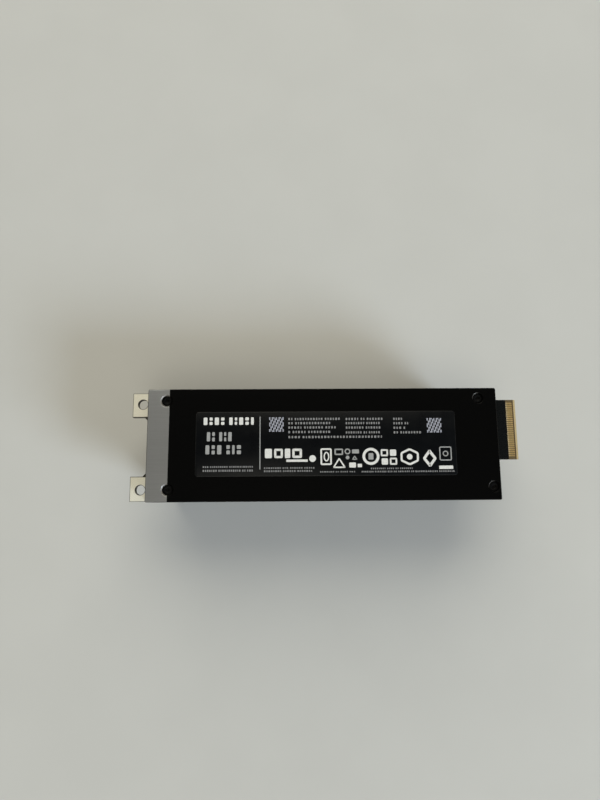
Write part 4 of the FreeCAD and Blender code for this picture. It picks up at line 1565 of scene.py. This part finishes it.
@dataclass
class StatusLights:
    """Two lights behind clear guides that end in the front face."""

    count: int = 2

    def build(self) -> None:
        """Dress the lights and their guides."""
        numbers = range(1, self.count + 1)
        lens = ClearPlastic(name="lamp_lens", colour=(0.85, 0.80, 0.55), second=(0.80, 0.74, 0.48),
                            transmission=0.35)
        guide = ClearPlastic(name="guide_plastic", colour=(0.86, 0.88, 0.88), second=(0.80, 0.82, 0.83))
        Bench.refinish([f"status_led_{number}" for number in numbers], lens)
        Bench.refinish([f"light_guide_{number}" for number in numbers], guide)


@dataclass(frozen=True)
class Lamp:
    """Round soft lamp over the table: where it hangs, how wide and how bright it is, in metres and watts."""

    name: str
    direction: tuple[float, float, float]
    distance: float
    size: float
    power: float
    colour: Colour


@dataclass
class Studio:
    """Pale table, cool light from the lower right, warm light round it and the camera above the drive."""

    camera_place: tuple[float, float, float] = (-10.685 * MM, -17.253 * MM, 201.986 * MM)
    camera_turn: tuple[float, float, float] = (9.824, -0.901, -0.451)
    focal_pixels: float = 593.0
    long_side_pixels: float = 800.0
    sensor: float = 36.0
    clip: Span = (0.005, 20.0)
    table_side: float = 4.0
    lamps: tuple[Lamp, ...] = (
        Lamp("key_lamp", (0.73, -0.556, 0.41), 2.4, 0.87, 46.0, (0.74, 0.86, 1.0)),
        Lamp("soft_box", (-0.05, 0.82, 0.47), 3.0, 4.0, 104.0, (1.0, 0.96, 0.82)),
        Lamp("ceiling_lamp", (0.0, -0.45, 0.89), 2.4, 1.35, 10.0, (1.0, 0.96, 0.82)),
    )
    room_tint: Colour = (1.0, 0.96, 0.84)
    room_levels: tuple[Span, ...] = ((0.0, 0.58), (0.25, 0.42), (0.5, 0.16), (0.72, 0.15), (0.95, 0.08))

    def build(self) -> None:
        """Set the table, the light and the camera."""
        self.table()
        self.room()
        for lamp in self.lamps:
            self.hang(lamp)
        self.camera()
        bpy.context.scene.view_settings.view_transform = "Standard"

    def table(self) -> None:
        """Lay the table under the fin tips."""
        Bench.clear()
        bpy.ops.mesh.primitive_plane_add(size=self.table_side, location=(0.0, 0.0, 0.0))
        table = bpy.context.object
        table.name = "table"
        table.data.materials.append(Tabletop().make())

    def room(self) -> None:
        """Light the room softly, pale at the walls and dim overhead where the camera hangs."""
        world = bpy.data.worlds.new("room")
        bpy.context.scene.world = world
        world.use_nodes = True
        tree = world.node_tree
        tree.nodes.clear()
        place = tree.nodes.new("ShaderNodeTexCoord")
        split = tree.nodes.new("ShaderNodeSeparateXYZ")
        ramp = tree.nodes.new("ShaderNodeValToRGB")
        glow = tree.nodes.new("ShaderNodeBackground")
        output = tree.nodes.new("ShaderNodeOutputWorld")
        stops = ramp.color_ramp.elements
        stops.remove(stops[1])
        for number, (height, strength) in enumerate(self.room_levels):
            stop = stops[0] if number == 0 else stops.new(height)
            stop.position = height
            stop.color = (strength, strength, strength, 1.0)
        glow.inputs["Color"].default_value = (*self.room_tint, 1.0)
        tree.links.new(place.outputs["Generated"], split.inputs[0])
        tree.links.new(split.outputs["Z"], ramp.inputs["Fac"])
        tree.links.new(ramp.outputs[0], glow.inputs["Strength"])
        tree.links.new(glow.outputs[0], output.inputs["Surface"])

    def hang(self, lamp: Lamp) -> None:
        """Hang one soft lamp, turned to the drive.

        Args:
            lamp: The lamp.
        """
        Bench.clear()
        direction = Vector(lamp.direction).normalized()
        bpy.ops.object.light_add(type="AREA", location=direction * lamp.distance)
        made = bpy.context.object
        made.name = lamp.name
        made.rotation_euler = direction.to_track_quat("Z", "Y").to_euler()
        made.data.shape = "DISK"
        made.data.size = lamp.size
        made.data.energy = lamp.power
        made.data.color = lamp.colour

    def camera(self) -> None:
        """Set the camera where the photograph was taken from."""
        Bench.clear()
        bpy.ops.object.camera_add(location=self.camera_place)
        eye = bpy.context.object
        eye.name = "camera"
        eye.rotation_euler = tuple(math.radians(turn) for turn in self.camera_turn)
        eye.data.sensor_fit = "AUTO"
        eye.data.sensor_width = self.sensor
        eye.data.lens = self.sensor * self.focal_pixels / self.long_side_pixels
        eye.data.clip_start, eye.data.clip_end = self.clip
        bpy.context.scene.camera = eye


def main() -> None:
    """Build the sub-assemblies in order and set the scene."""
    logging.basicConfig(level=logging.INFO, format="%(name)s: %(message)s")
    for part in (Enclosure(), CardEdge(), Label(), Electronics(), StatusLights(), Studio()):
        LOG.info("building %s", type(part).__name__)
        part.build()


if __name__ == "__main__":
    main()
